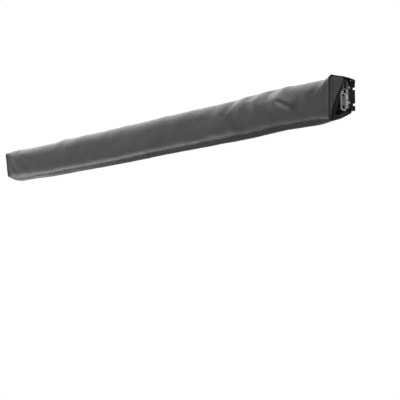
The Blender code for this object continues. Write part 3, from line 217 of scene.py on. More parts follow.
# End plates: 4 mm plates that close the rail's ends, powder coated black, each held by two bright button screws
# in the rail's screw ports. The coat has a fine orange peel.
ENDS = ("near", "far")
powder_coat = grained(
    "black powder coat", "#0a0a0b", "#131314", (0.65, 0.85), 0.0, 0.0016, bump=0.00005, shine=0.16
)
stainless = grained("bright stainless steel", "#a3a29f", "#c9c8c5", (0.24, 0.36), 1.0, 0.0012, bump=0.00001)
for end in ENDS:
    dress(powder_coat, f"end_plate_{end}")
    dress(stainless, f"end_plate_screw_lower_{end}", f"end_plate_screw_upper_{end}")


# Hinge brackets of the arms: folded 3 mm steel, zinc plated and a little dull, riveted to the rail's front face.
# The pivot bolt goes down through both ears into a nut.
zinc_plate = grained("zinc plated steel", "#78787a", "#aaaaac", (0.34, 0.52), 1.0, 0.006, bump=0.00002)


def marked(finish, colour, axis, both_ways, start, full, most, wander, patch, detail):
    """Lays a second colour over a finish past a place on an axis. Its border wanders in patches of a real size."""
    tree = finish.node_tree
    base = tree.nodes["Principled BSDF"].inputs["Base Color"]
    plain = base.links[0].from_socket
    place = put(tree, "TexCoord")
    level = put(tree, "SeparateXYZ", {"Vector": place.outputs["Object"]}).outputs[axis]
    if both_ways:
        level = put(tree, "Math", {0: level}, operation="ABSOLUTE").outputs[0]
    patches = put(tree, "TexNoise", {"Vector": place.outputs["Object"], "Scale": 1 / patch, "Detail": detail})
    drift = put(tree, "MapRange", {"Value": patches.outputs["Fac"], "To Min": -wander, "To Max": wander})
    level = put(tree, "Math", {0: level, 1: drift.outputs[0]}, operation="ADD").outputs[0]
    cover = put(tree, "MapRange", {"Value": level, "From Min": start, "From Max": full, "To Max": most})
    tones = put(tree, "Mix", {"Factor": cover.outputs[0]}, data_type="RGBA")
    tones.inputs[7].default_value = linear(colour)
    tree.links.new(plain, tones.inputs[6])
    tree.links.new(tones.outputs[2], base)


# Painted shade: the zinc is darkened in patches round the pivot, from about 11 mm above the rail's middle, for the
# shadow that the cover's top casts there
marked(
    zinc_plate, "#29292a", "Z", False, start=0.011, full=0.024, most=0.85, wander=0.010, patch=0.008, detail=4.0
)
for end in ENDS:
    dress(zinc_plate, f"arm_bracket_{end}", f"arm_pivot_bolt_{end}", f"arm_pivot_nut_{end}")
    dress(stainless, f"bracket_rivet_lower_{end}", f"bracket_rivet_upper_{end}")


# Spreader arms: two box tubes of drawn aluminium in each other, satin anodised. The knuckle at the hinge, the
# collar, its clamping knob and the eye at the tip are moulded glass-filled nylon with a spark-eroded grain.
tube_metal = grained("satin anodised tube", "#9c9ea1", "#c2c4c6", (0.28, 0.4), 1.0, 0.0008, (0.03, 1, 1))
nylon = grained("moulded black nylon", "#161617", "#212123", (0.42, 0.55), 0.0, 0.0007, bump=0.00004)
for end in ENDS:
    dress(tube_metal, f"arm_outer_tube_{end}", f"arm_inner_tube_{end}")
    dress(nylon, f"arm_knuckle_{end}", f"arm_collar_{end}", f"arm_knob_{end}", f"arm_tip_eye_{end}")


# Front rail: an extruded aluminium channel that carries the canopy's outer edge and holds the folded legs.
# Cast caps close its ends, each with a rim round its sunk face, a black screw, a black bolt and an open hole.
# The legs turn on bright pins, and the arms' tips sit on zinc plated studs.
cast_metal = grained("tumbled cast aluminium", "#4c4c4f", "#6c6c6f", (0.40, 0.56), 1.0, 0.0011, bump=0.00006)
black_oxide = grained("black oxide steel", "#070708", "#0e0e0f", (0.65, 0.8), 0.0, 0.001, shine=0.12)
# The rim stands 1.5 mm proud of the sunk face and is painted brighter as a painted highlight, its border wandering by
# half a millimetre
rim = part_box("front_rail_cap_near")[1].x
marked(
    cast_metal, "#b9b9bb", "X", True, rim - 0.0010, rim - 0.0005, most=1.0, wander=0.0005, patch=0.004, detail=3.0
)
dress(tube_metal, "front_rail")
for end in ENDS:
    dress(cast_metal, f"front_rail_cap_{end}")
    dress(black_oxide, f"cap_bolt_{end}", f"cap_screw_{end}")
    dress(stainless, f"leg_pivot_pin_{end}")
    dress(zinc_plate, f"arm_stud_{end}")


# Legs: two round tubes in each other with a twist lock and a rubber foot, folded into the front rail's channel.
# The foot's rubber is matt and slightly dusty.
rubber = grained("foot rubber", "#151515", "#232322", (0.75, 0.9), 0.0, 0.003, bump=0.00008)
for end in ENDS:
    dress(tube_metal, f"leg_outer_tube_{end}", f"leg_inner_tube_{end}")
    dress(nylon, f"leg_knuckle_{end}", f"leg_twist_collar_{end}")
    dress(rubber, f"leg_foot_{end}")


# Canopy: 2 m wide ripstop polyester, polyurethane coated, one bead held in the rail's groove. It is led over the
# arms and down the front, then wound six and a half turns round the front rail, tight at the back and slack at
# the front.
CANOPY_HALF_WIDTH = 1.0
CANOPY_THICKNESS = 0.0005
CANOPY_TURNS = 6.5
# How far one more turn carries a corner of the winding out and up: lower front, lower back, upper back, upper front
TURN_GROWTH = ((0.0066, -0.0035), (-0.0012, -0.0010), (-0.0012, 0.0012), (0.0066, 0.0013))
# How far the innermost turn keeps from the rail, and how far before and after a corner the cloth starts to bend
CORE_GAP = 0.0022
CORNER_EASE = 0.0022
# The one sheet is two pieces here, because they move differently. This is where the lead ends and the roll starts.
LEAD_SPLIT_OUT, LEAD_SPLIT_Z = 0.085, 0.0525
ROLL_POINTS = 400
BEAD_RADIUS = 0.0027
STATIONS = 76


def eased(controls, count):
    """Evenly spaced points on the soft curve that cloth takes along a row of corners."""
    line = [controls[0]] * 2 + list(controls) + [controls[-1]] * 2
    dense = []
    for i in range(len(line) - 3):
        a, b, c, d = (Vector(p) for p in line[i : i + 4])
        for step in range(10):
            t = step / 10
            rise, fall = t**3, (1 - t) ** 3
            dense.append((a * fall + b * (3 * rise - 6 * t * t + 4) + c * (3 * t * (1 + t - t * t) + 1) + d * rise) / 6)
    dense.append(Vector(controls[-1]))
    run = [0.0]
    for a, b in zip(dense, dense[1:]):
        run.append(run[-1] + (b - a).length)
    spaced, k = [], 0
    for i in range(count):
        goal = run[-1] * i / (count - 1)
        while k < len(run) - 2 and run[k + 1] < goal:
            k += 1
        spaced.append(dense[k].lerp(dense[k + 1], min(1, (goal - run[k]) / max(run[k + 1] - run[k], 1e-9))))
    return spaced


def cloth(name, rows, finish, facing=None, thickness=None, back=None):
    """A sheet laid over rows of points. Its UV map holds metres of cloth. Without facing it is a closed tube."""
    across, along = len(rows) - 1, len(rows[0]) - 1
    shape = bmesh.new()
    bmesh.ops.create_grid(shape, x_segments=across, y_segments=along, size=1)
    run_across = [0.0]
    for a, b in zip(rows, rows[1:]):
        run_across.append(run_across[-1] + (b[along // 2] - a[along // 2]).length)
    run_along = [0.0]
    middle = rows[across // 2]
    for a, b in zip(middle, middle[1:]):
        run_along.append(run_along[-1] + (b - a).length)
    cut = shape.loops.layers.uv.new("cut")
    spots = {vert: (round((vert.co.x + 1) / 2 * across), round((vert.co.y + 1) / 2 * along)) for vert in shape.verts}
    for vert, (i, j) in spots.items():
        vert.co = rows[i][j]
    for face in shape.faces:
        face.smooth = True
        for loop in face.loops:
            i, j = spots[loop.vert]
            loop[cut].uv = (run_across[i], run_along[j])
    if facing is None:
        bmesh.ops.remove_doubles(shape, verts=shape.verts, dist=1e-6)
        bmesh.ops.recalc_face_normals(shape, faces=shape.faces)
    else:
        shape.normal_update()
        if sum((face.normal for face in shape.faces), Vector()).dot(Vector(facing)) < 0:
            bmesh.ops.reverse_faces(shape, faces=shape.faces)
    made = add_shape(name, shape, finish)
    if thickness:
        wall = made.modifiers.new("thickness", "SOLIDIFY")
        wall.thickness = thickness
        wall.offset = -1
        if back:
            made.data.materials.append(back)
            wall.material_offset = 1
    return made


def length_of(line):
    return sum((b - a).length for a, b in zip(line, line[1:]))


def tube(name, line, radius, finish, flat=1.0, across=(1, 0, 0), sides=10):
    """A round or flattened welt along a line. across is a direction that is square to the line."""
    rows = []
    for i, point in enumerate(line):
        ahead = (line[min(i + 1, len(line) - 1)] - line[max(i - 1, 0)]).normalized()
        side = (Vector(across) - ahead * ahead.dot(Vector(across))).normalized()
        up = ahead.cross(side)
        ring = [2 * math.pi * k / sides for k in range(sides + 1)]
        rows.append([point + side * radius * math.cos(a) + up * radius * flat * math.sin(a) for a in ring])
    return cloth(name, rows, finish)


def crossed(tree, vector, pitch, operation):
    """Two sets of lines that cross, at a real pitch in metres. A wave texture repeats every 2 pi / 20 / scale."""
    sets = [
        put(tree, "TexWave", {"Vector": vector, "Scale": 2 * math.pi / pitch / 20}, bands_direction=axis)
        for axis in ("X", "Y")
    ]
    return put(tree, "Math", {0: sets[0].outputs["Fac"], 1: sets[1].outputs["Fac"]}, operation=operation)


ripstop, tree, shader = new_material("coated ripstop polyester")
shader.inputs["Sheen Weight"].default_value = 0.12
place = put(tree, "TexCoord")
# The ripstop grid is 5 mm, the threads between are 0.3 mm and drawn at 0.9 mm so that they show
lines = crossed(tree, place.outputs["Object"], 0.005, "MAXIMUM")
ridge = put(tree, "MapRange", {"Value": lines.outputs[0], "From Min": 0.93, "From Max": 1.0})
threads = put(tree, "TexNoise", {"Vector": place.outputs["Object"], "Scale": 1 / 0.0009, "Detail": 2.0})
height = put(tree, "Math", {0: ridge.outputs[0], 1: threads.outputs["Fac"]}, operation="ADD")
tone = two_tones(tree, threads.outputs["Fac"], "#3c3e42", "#55575c")
relief = put(tree, "Bump", {"Height": height.outputs[0], "Strength": 0.35, "Distance": 0.0002})
tree.links.new(tone, shader.inputs["Base Color"])
tree.links.new(relief.outputs[0], shader.inputs["Normal"])
shader.inputs["Roughness"].default_value = 0.72

rail_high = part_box("backing_rail")[1]
front_low, front_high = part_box("front_rail")
front_back, front_front = -front_high.y, -front_low.y
# The bead lies 4.8 mm down in the rail's top groove, and the cloth leaves it 1.2 mm over the rail
groove_out, groove_z = 0.034, rail_high.z - 0.0048
lead_z = rail_high.z + 0.0012
stations = [-CANOPY_HALF_WIDTH + 2 * CANOPY_HALF_WIDTH * i / STATIONS for i in range(STATIONS + 1)]


def canopy_rows(line, sway):
    """The canopy's line repeated along the rail, with the small waves of slack cloth."""
    rows = []
    for x in stations:
        row = []
        for out, z in line:
            wave = noise.noise(Vector((x * 7, out * 14, z * 14))) * sway
            row.append(Vector((x, -out - wave, z + wave * 0.6)))
        rows.append(row)
    return rows


lead_line = [Vector((groove_out, groove_z)), Vector((groove_out, lead_z))]
over_arms = [(groove_out, lead_z), (0.040, lead_z), (0.062, lead_z - 0.0006), (LEAD_SPLIT_OUT, LEAD_SPLIT_Z)]
lead_line += eased(over_arms, 40)[1:]
canopy_lead = cloth("canopy_lead", canopy_rows(lead_line, 0.0), ripstop, (0, 0, 1), CANOPY_THICKNESS)
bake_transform(canopy_lead)
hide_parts("canopy")

bead_line = [Vector((x, -groove_out, groove_z)) for x in (-CANOPY_HALF_WIDTH, 0, CANOPY_HALF_WIDTH)]
canopy_bead = tube("canopy_bead", bead_line, BEAD_RADIUS, ripstop, across=(0, 0, 1))
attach(canopy_bead, "base")

core = (
    (front_front + CORE_GAP, front_low.z - CORE_GAP),
    (front_back - CORE_GAP, front_low.z - CORE_GAP),
    (front_back - CORE_GAP, front_high.z + CORE_GAP),
    (front_front + CORE_GAP, front_high.z + CORE_GAP),
)
turns = []
for i in range(round(4 * CANOPY_TURNS) + 1):
    left = CANOPY_TURNS - i / 4
    (out, z), (grow_out, grow_z) = core[i % 4], TURN_GROWTH[i % 4]
    turns.append(Vector((out + grow_out * left, z + grow_z * left)))
over_front = [(LEAD_SPLIT_OUT, LEAD_SPLIT_Z), (0.104, 0.047), (0.122, 0.037), (0.132, 0.024)]
over_front += [(0.136, 0.0), (0.135, -0.045)]
roll_controls = [Vector(spot) for spot in over_front]
for i, (before, corner, after) in enumerate(zip([roll_controls[-1], *turns], turns, turns[1:])):
    slack = 2 * (1 - i / len(turns)) if corner.x > 0.09 else 0
    ease = CORNER_EASE * (1 + slack)
    roll_controls.append(corner + (before - corner).normalized() * ease)
    roll_controls.append(corner + (after - corner).normalized() * ease)
roll_line = eased(roll_controls, ROLL_POINTS)
canopy_roll = cloth("canopy_roll", canopy_rows(roll_line, 0.0004), ripstop, (0, 0, 1), CANOPY_THICKNESS)
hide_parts("canopy")
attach(canopy_roll, "front_rail_body")
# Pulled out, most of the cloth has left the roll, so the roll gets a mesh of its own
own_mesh(canopy_roll)


# Cover skin: one long panel of charcoal polyester with a glossy PVC coat, beaded into the rail's lower groove.
# It hangs round the roll as a soft shell: the front bellies out, the top dips between what lies inside, and the
# end stands up where its sewn edge is stiff. Lines give the height of its top and lowest edge along the rail.
COVER_THICKNESS = 0.0012
TOP_LINE = (
    (-1.0975, 0.0475),
    (-1.057, 0.0530),
    (-1.018, 0.0525),
    (-0.980, 0.0482),
    (-0.906, 0.0450),
    (-0.796, 0.0438),
    (-0.708, 0.0439),
    (-0.622, 0.0505),
    (-0.538, 0.0493),
    (-0.456, 0.0496),
    (-0.376, 0.0467),
    (-0.298, 0.0467),
    (-0.222, 0.0470),
    (-0.147, 0.0482),
    (-0.075, 0.0466),
    (0.066, 0.0454),
    (0.134, 0.0460),
    (0.200, 0.0435),
    (0.265, 0.0442),
    (0.329, 0.0452),
    (0.391, 0.0457),
    (0.452, 0.0445),
    (0.570, 0.0446),
    (0.627, 0.0500),
    (0.683, 0.0500),
    (0.738, 0.0536),
    (0.792, 0.0517),
    (0.845, 0.0535),
    (0.896, 0.0489),
    (0.947, 0.0455),
    (0.997, 0.0438),
    (1.046, 0.0425),
    (1.072, 0.0480),
    (1.0945, 0.0545),
)
LOW_LINE = (
    (-1.0975, -0.079),
    (-1.075, -0.088),
    (-1.040, -0.097),
    (-0.990, -0.104),
    (-0.880, -0.107),
    (-0.700, -0.111),
    (-0.450, -0.1125),
    (-0.306, -0.1140),
    (0.057, -0.1130),
    (0.382, -0.1130),
    (0.673, -0.113),
    (0.861, -0.110),
    (1.0945, -0.1125),
)
FOLDS = (
    # x and z where a fold starts, x and z where it ends, its width, and its height outwards
    (0.796, 0.026, 0.908, -0.027, 0.018, 0.0125),
    (0.880, 0.050, 0.950, -0.006, 0.020, -0.0048),
    (0.600, 0.036, 0.560, -0.010, 0.016, 0.0032),
    (0.655, 0.040, 0.690, -0.010, 0.016, -0.0030),
    (0.500, 0.010, 0.610, -0.075, 0.028, 0.0030),
    (0.560, 0.000, 0.660, -0.070, 0.024, -0.0022),
    (0.380, 0.048, 0.470, 0.005, 0.022, -0.0022),
    (0.200, 0.030, 0.300, -0.060, 0.030, 0.0016),
    (-1.088, 0.030, -1.000, -0.060, 0.011, -0.0038),
    (-1.060, 0.044, -0.960, -0.035, 0.013, 0.0034),
    (-1.000, 0.040, -0.880, -0.060, 0.016, -0.0026),
    (-0.800, 0.030, -0.660, -0.050, 0.030, 0.0018),
    (-0.640, 0.050, -0.560, 0.020, 0.020, 0.0022),
    (-0.520, 0.040, -0.380, -0.060, 0.034, -0.0020),
    (-0.300, 0.035, -0.120, 0.010, 0.026, -0.0016),
    (0.020, -0.080, 0.240, -0.020, 0.032, 0.0014),
    (1.060, 0.050, 1.010, 0.000, 0.014, -0.0018),
)
SLUMPS = (
    # x of a place where the upper edge has sunk to a slope, its half length, and how far it has sunk
    (0.575, 0.040, 0.95),
    (0.670, 0.045, 0.75),
    (0.788, 0.038, 1.20),
    (0.735, 0.030, 0.65),
    (0.490, 0.040, 0.25),
    (-0.600, 0.060, 0.40),
)
SHELVES = (
    # x of a place where the upper edge lies nearly level over the roll, its half length, and how level it lies
    (0.668, 0.046, 0.60),
    (0.560, 0.035, 0.20),
)


def height_at(line, x):
    """The height of an edge line at x, eased between its points."""
    for (x0, z0), (x1, z1) in zip(line, line[1:]):
        if x <= x1:
            t = max(0, (x - x0) / (x1 - x0))
            return z0 + (z1 - z0) * t * t * (3 - 2 * t)
    return line[-1][1]


def cover_section(x, count):
    """The cover's line at x, from its bead in the lower groove round the front to the zip."""
    top, low = height_at(TOP_LINE, x), height_at(LOW_LINE, x)
    # The hem holds the section at each end. Between the ends its upper edge slumps or lies nearly level on the
    # roll. The far end's front is tucked in and its lower edge is rounder, and rise is the height of the front.
    near = max(0, (x - 1.0) / 0.095) ** 2
    far = math.exp((COVER_FAR_X - x) / 0.022)
    slump, shelf = (
        sum(depth * math.exp(-(((x - x0) / half) ** 2)) for x0, half, depth in places) for places in (SLUMPS, SHELVES)
    )
    slump += 0.12 + 0.12 * noise.noise(Vector((x * 7, 2, 5)))
    tuck = max(0, (-1.03 - x) / 0.07) * 0.004
    rise = -0.010 - low
    loose = max(0, min(1, (-0.80 - x) / 0.12))
    # Both sections are places out from the rail's rear and in height: under the roll, up the front, over the top
    slack = [
        (0.050, -0.0735),
        (0.078, -0.0875),
        (0.104, (low - 0.098) / 2),
        (0.126 + 0.004 * loose, low - 0.0030 + 0.002 * loose),
        (0.1395 + 0.0005 * loose, low + 0.0010 - 0.0005 * loose),
        (0.1480 - 0.003 * loose, low + 0.08 * rise),
        (0.1540 - 0.004 * loose, low + 0.19 * rise + 0.002 * loose),
        (0.1572 - 0.0027 * loose, low + 0.34 * rise),
        (0.1583 - 0.0008 * loose, low + 0.55 * rise),
        (0.1572, low + 0.80 * rise),
        (0.1557 - 0.0022 * slump, -0.001 - 0.006 * slump),
        (0.1540 - 0.0040 * slump + 0.0005 * shelf, top - 0.032 - 0.010 * slump + 0.006 * shelf),
        (0.1500 - 0.0055 * slump + 0.0040 * shelf, top - 0.018 - 0.012 * slump + 0.004 * shelf),
        (0.1430 - 0.0030 * slump + 0.0060 * shelf, top - 0.0055 - 0.0125 * slump - 0.0015 * shelf),
        (0.1320 - 0.0015 * slump + 0.0040 * shelf, top + 0.0045 - 0.0105 * slump - 0.0055 * shelf),
        (0.1170, top + 0.0105 - 0.0010 * slump - 0.0025 * shelf),
        (0.0950, top + 0.0125 + 0.0030 * slump + 0.0035 * shelf),
        (0.0700, 0.0590),
        (0.0285, 0.0586),
    ]
    sag, drop = 0.0035 * near + 0.001, low + 0.065
    sewn = [
        (0.050, -0.064 + 0.139 * drop - 0.42 * sag),
        (0.078, -0.064 + 0.383 * drop - 0.93 * sag),
        (0.106, -0.064 + 0.626 * drop - 0.92 * sag),
        (0.132, -0.064 + 0.852 * drop - 0.45 * sag),
        (0.1500, low + 0.0010),
        (0.1572, low + 0.075 * rise),
        (0.1578, low + 0.20 * rise),
        (0.1580, low + 0.38 * rise),
        (0.1575, low + 0.62 * rise),
        (0.1555, low + 0.85 * rise),
        (0.1545, 0.002),
        (0.1540, top - 0.026),
        (0.1538, top - 0.011),
        (0.1515, top - 0.001),
        (0.1430, top + 0.0015),
        (0.1250, (top + 0.058) / 2),
        (0.1000, 0.0575),
        (0.0700, 0.0605),
        (0.0285, 0.0588),
    ]
    stiff = min(1, near + far)
    line = [Vector(a).lerp(Vector(b), stiff) for a, b in zip(slack, sewn)]
    line = [Vector((out - (tuck if out > 0.14 else 0), z)) for out, z in line]
    return eased([(0.030, -0.0505), (0.030, -0.0575), (0.034, -0.0640), *line], count)


def fold_height(x, z):
    """How far the folds lift the front of the cover at a point."""
    total = 0
    for x0, z0, x1, z1, width, height in FOLDS:
        along = Vector((x1 - x0, z1 - z0))
        share = (Vector((x - x0, z - z0)).dot(along)) / along.length_squared
        spot = Vector((x0, z0)) + along * max(0, min(1, share))
        apart = (Vector((x, z)) - spot).length
        fade = max(0.0, 1 - abs(share - 0.4) * 0.9)
        total += height * fade * math.exp(-((apart / width) ** 2))
    return total


cover_low, cover_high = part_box("cover_skin")
COVER_FAR_X, COVER_NEAR_X = cover_low.x + 0.0005, cover_high.x - 0.0005
COVER_STEPS, COVER_ROUND = 380, 88
cover_rows = []
for i in range(COVER_STEPS + 1):
    x = COVER_FAR_X + (COVER_NEAR_X - COVER_FAR_X) * i / COVER_STEPS
    section = cover_section(x, COVER_ROUND + 1)
    row = []
    for j, (out, z) in enumerate(section):
        ahead = (section[min(j + 1, COVER_ROUND)] - section[max(j - 1, 0)]).normalized()
        normal = Vector((-ahead.y, ahead.x)) * -1
        # The cloth is held along its bead and its zip and less free near its ends, and waves and folds between
        held = min(1, j / 9, (COVER_ROUND - j) / 14)
        free = held * (0.35 + 0.65 * min(1, abs(x - COVER_FAR_X) / 0.05, abs(COVER_NEAR_X - x) / 0.03))
        wave = noise.noise(Vector((x * 4.2, out * 9, z * 9 + 3))) * 0.0026
        wave += noise.noise(Vector((x * 13, out * 26, z * 26 + 7))) * 0.0008
        wave += noise.noise(Vector((x * 38, out * 60, z * 60))) * 0.00015
        wave = wave * free + (fold_height(x, z) if out > 0.11 else 0) * free
        # The far end's edge slants, out at the top and in at the bottom
        pulled = (0.038 * max(0, min(1, (0.050 - z) / 0.12)) - 0.016) * math.exp((COVER_FAR_X - x) / 0.06)
        pulled *= max(0, min(1, (out - 0.090) / 0.055))
        row.append(Vector((x + pulled, -(out + normal.x * wave), z + normal.y * wave)))
    cover_rows.append(row)

pvc, tree, shader = new_material("charcoal PVC coated polyester")
shader.inputs["Specular IOR Level"].default_value = 0.36
place = put(tree, "TexCoord")
# The base cloth is a plain weave of 1 mm yarns that prints through the coat, drawn at 2 mm so that it shows
cloth_print = crossed(tree, place.outputs["UV"], 0.002, "MULTIPLY")
# A grain of 2.5 mm in the coat, creases of 5 cm from folding, and dust in patches of 18 cm
grain, creases, dust = (
    put(tree, "TexNoise", {"Vector": place.outputs["Object"], "Scale": 1 / size, "Detail": detail, "Roughness": rough})
    for size, detail, rough in ((0.0025, 5.0, 0.65), (0.05, 4.0, 0.5), (0.18, 6.0, 0.6))
)
tone = two_tones(tree, dust.outputs["Fac"], "#222224", "#2c2c2e", 0.35, 0.7)
gloss = drifting(tree, grain.outputs["Fac"], 0.31, 0.44)
small = put(tree, "Bump", {"Height": cloth_print.outputs[0], "Strength": 0.08, "Distance": 0.0002})
middle = put(
    tree, "Bump", {"Height": grain.outputs["Fac"], "Strength": 0.06, "Distance": 0.0004, "Normal": small.outputs[0]}
)
large = put(
    tree, "Bump", {"Height": creases.outputs["Fac"], "Strength": 0.16, "Distance": 0.004, "Normal": middle.outputs[0]}
)
tree.links.new(tone, shader.inputs["Base Color"])
tree.links.new(gloss.outputs[0], shader.inputs["Roughness"])
tree.links.new(large.outputs[0], shader.inputs["Normal"])

# The back of the cloth has no coat: grey yarn, matt, drawn at the same 2 mm
cover_back, tree, shader = new_material("uncoated back of the cover cloth")
shader.inputs["Roughness"].default_value = 0.85
shader.inputs["Sheen Weight"].default_value = 0.1
place = put(tree, "TexCoord")
woven = crossed(tree, place.outputs["UV"], 0.002, "MULTIPLY")
tone = two_tones(tree, woven.outputs[0], "#434346", "#68686b")
relief = put(tree, "Bump", {"Height": woven.outputs[0], "Strength": 0.3, "Distance": 0.0003})
tree.links.new(tone, shader.inputs["Base Color"])
tree.links.new(relief.outputs[0], shader.inputs["Normal"])


def part_of_cover(piece, *nodes):
    """The cover opens as one: each piece of it turns with it."""
    if nodes:
        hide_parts(*nodes)
    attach(piece, "cover")
    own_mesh(piece)
    return piece


cover_bag = cloth("cover_bag", cover_rows, pvc, (0, -1, 0.3), COVER_THICKNESS, cover_back)
part_of_cover(cover_bag, "cover_skin")
cover_length = length_of(cover_section(0, COVER_ROUND + 1))


# Hems: each end of the cover is turned in 11 mm and sewn down twice, and a thin black cord is sewn
# into the corner where the end panels start. A round piping is sewn into the lower front edge.
HEM_DEPTH, HEM_PROUD = 0.011, 0.0008
CORD_RADIUS, CORD_PAST = 0.0017, 0.0022
PIPING_OUT, PIPING_RADIUS = 0.146, 0.0014
grosgrain = grained("black woven cord", "#0c0c0d", "#171718", (0.7, 0.85), 0.0, 0.0014, bump=0.00012, shine=0.2)


def outwards(direction, point):
    """The direction, turned round where it points into the cover."""
    return -direction if direction.dot(Vector((0, 0.09 + point.y, point.z + 0.02))) < 0 else direction


def turned_hem(name, row, inner_row, outward):
    """The cloth doubled at one end of the cover. The rows are the cover's last line and one a hem's depth in."""
    rows = []
    for j, (edge, inside) in enumerate(zip(row, inner_row)):
        ahead = (row[min(j + 1, len(row) - 1)] - row[max(j - 1, 0)]).normalized()
        lift = outwards(ahead.cross(Vector((1, 0, 0))).normalized(), edge)
        far = edge + Vector((outward * HEM_PROUD, 0, 0))
        top, under = HEM_PROUD, -COVER_THICKNESS - 0.0006
        # Over the outside to the fold, and back along the inside
        loop = [
            inside + lift * 0.0001,
            inside.lerp(edge, 0.12) + lift * top,
            inside.lerp(edge, 0.5) + lift * top * 1.5,
            inside.lerp(edge, 0.88) + lift * top,
            far + lift * top * 0.2,
            far + lift * under * 0.6,
            edge + lift * under,
            inside.lerp(edge, 0.5) + lift * under,
            inside + lift * under,
            inside + lift * 0.0001,
        ]
        rows.append(loop)
    return cloth(name, rows, pvc)


hem_steps = round(HEM_DEPTH / ((COVER_NEAR_X - COVER_FAR_X) / COVER_STEPS))
part_of_cover(turned_hem("cover_hem_near", cover_rows[-1], cover_rows[-1 - hem_steps], 1))
part_of_cover(turned_hem("cover_hem_far", cover_rows[0], cover_rows[hem_steps], -1))
middle = Vector((0, -0.098, -0.02))
for name, row, outward in (("cover_cord_near", cover_rows[-1], 1), ("cover_cord_far", cover_rows[0], -1)):
    cord_line = []
    for point in row[4:-2]:
        out_of = Vector((0, point.y - middle.y, point.z - middle.z)).normalized()
        cord_line.append(point + out_of * 0.0006 + Vector((outward * CORD_PAST, 0, 0)))
    part_of_cover(tube(name, cord_line, CORD_RADIUS, grosgrain))


def low_corner(row):
    """The place along a cross line where the cover's bottom turns up into its front, as index and remainder."""
    j = next(j for j, point in enumerate(row) if -point.y > PIPING_OUT)
    return j - 1, (PIPING_OUT + row[j - 1].y) / (row[j - 1].y - row[j].y)


piping_line = []
for row in cover_rows:
    j, rest = low_corner(row)
    piping_line.append(row[j].lerp(row[j + 1], rest) + Vector((0, -0.0003, -0.0004)))
part_of_cover(tube("cover_piping", piping_line, PIPING_RADIUS, pvc, across=(0, 0, 1)))


# End panel: the same coated cloth closes the far end, sewn into the hem and pushed out a little by the rail ends.
# It is laid in rings from the seam to the middle, which stands about 2 mm outside the hem.
PANEL_BACK_OUT, PANEL_BACK_STEPS, PANEL_RINGS = 0.044, 24, 24
PANEL_CROWN = 0.0028


def closing_panel():
    """The rings of the panel. A straight line closes its outline at the back."""
    loop = [point for point in cover_rows[0] if -point.y > PANEL_BACK_OUT]
    back_steps = range(1, PANEL_BACK_STEPS + 1)
    loop += [loop[-1].lerp(loop[0], k / PANEL_BACK_STEPS) for k in back_steps]
    centre = Vector((COVER_FAR_X + 0.001, -0.098, -0.012))
    rows = []
    for k in range(PANEL_RINGS + 1):
        t = k / PANEL_RINGS
        ring = []
        for point in loop:
            spot = point.lerp(centre, t)
            crown = PANEL_CROWN * t * (2 - t)
            crown += noise.noise(Vector((spot.y * 30, spot.z * 22, 4))) * 0.0010 * min(1, 4 * t)
            # The hem's unevenness dies out quickly towards the middle
            x = centre.x + (point.x - centre.x) * (1 - t) ** 3
            ring.append(Vector((x - 0.0005 - crown, spot.y, spot.z)))
        rows.append(ring)
    return rows


panel_rows = closing_panel()
end_panel = cloth("cover_closing_panel", panel_rows, pvc, (-1, 0, 0), COVER_THICKNESS, cover_back)
part_of_cover(end_panel, "cover_end_panel")


# End flap: a panel sewn to the near hem along the top and the front. It should be zipped to the rail, but hangs
# half open here: past a soft crease that runs from its top to the lower front corner it is folded inwards.
FLAP_TOP_OUT, FLAP_CORNER_OUT = 0.076, 0.128
FLAP_FOLD = 0.34
FLAP_HALF_ROWS = 14
FLAP_SEAM = 0.025
CREASE_SOFTNESS = 0.00005


def crease_out(z):
    """How far out from the rail's rear the crease lies at a height."""
    return 0.155 - 0.0884 * max(0, (z + 0.112) / 0.170) ** 1.7


near_row = cover_rows[-1]
corner = min(range(len(near_row) // 2), key=lambda j: abs(-near_row[j].y - FLAP_CORNER_OUT))
top_start = min(range(len(near_row) // 2, len(near_row)), key=lambda j: abs(-near_row[j].y - FLAP_TOP_OUT))
seam = near_row[corner : top_start + 1][::-1]
edge_places = (
    # Where the free edge hangs, out from the rail's rear and in height, from the top down
    (0.0834, 0.0439),
    (0.0865, 0.0286),
    (0.0897, 0.0096),
    (0.0913, -0.0090),
    (0.0940, -0.0278),
    (0.1021, -0.0474),
    (0.1118, -0.0671),
    (0.1204, -0.0866),
    (0.1262, -0.0990),
)
free_edge = [seam[0], *(Vector((COVER_NEAR_X, -out, z)) for out, z in edge_places), seam[-1]]
free_edge = eased(free_edge, len(seam))


def at_crease(sewn, free):
    """How far along the line from the seam to the free edge the crease crosses it."""
    low, high = 0.06, 0.94
    for _ in range(12):
        t = (low + high) / 2
        spot = sewn.lerp(free, t)
        if crease_out(spot.z) + spot.y < 0:
            low = t
        else:
            high = t
    return low


flap_rows = []
for k in range(2 * FLAP_HALF_ROWS + 1):
    row = []
    for u, (sewn, free) in enumerate(zip(seam, free_edge)):
        crossing = at_crease(sewn, free)
        if k < FLAP_HALF_ROWS:
            t = FLAP_SEAM + (crossing - FLAP_SEAM) * k / FLAP_HALF_ROWS
        else:
            t = crossing + (1 - crossing) * (k - FLAP_HALF_ROWS) / FLAP_HALF_ROWS
        spot = sewn.lerp(free, t)
        away = 1 - math.exp(-(free - sewn).length * t / 0.009)
        past = crease_out(spot.z) + spot.y
        bent = (past + math.sqrt(past * past + CREASE_SOFTNESS)) / 2
        ripple = noise.noise(Vector((u * 0.09, t * 3, 2))) * 0.0012 + noise.noise(Vector((u * 0.25, t * 5, 8))) * 0.0005
        spot.x = COVER_NEAR_X + 0.0012 + away * (0.0048 + ripple - FLAP_FOLD * bent)
        row.append(spot)
    flap_rows.append(row)
end_flap = cloth("cover_flap", flap_rows, pvc, (1, 0, 0), COVER_THICKNESS, cover_back)
part_of_cover(end_flap, "cover_end_flap")
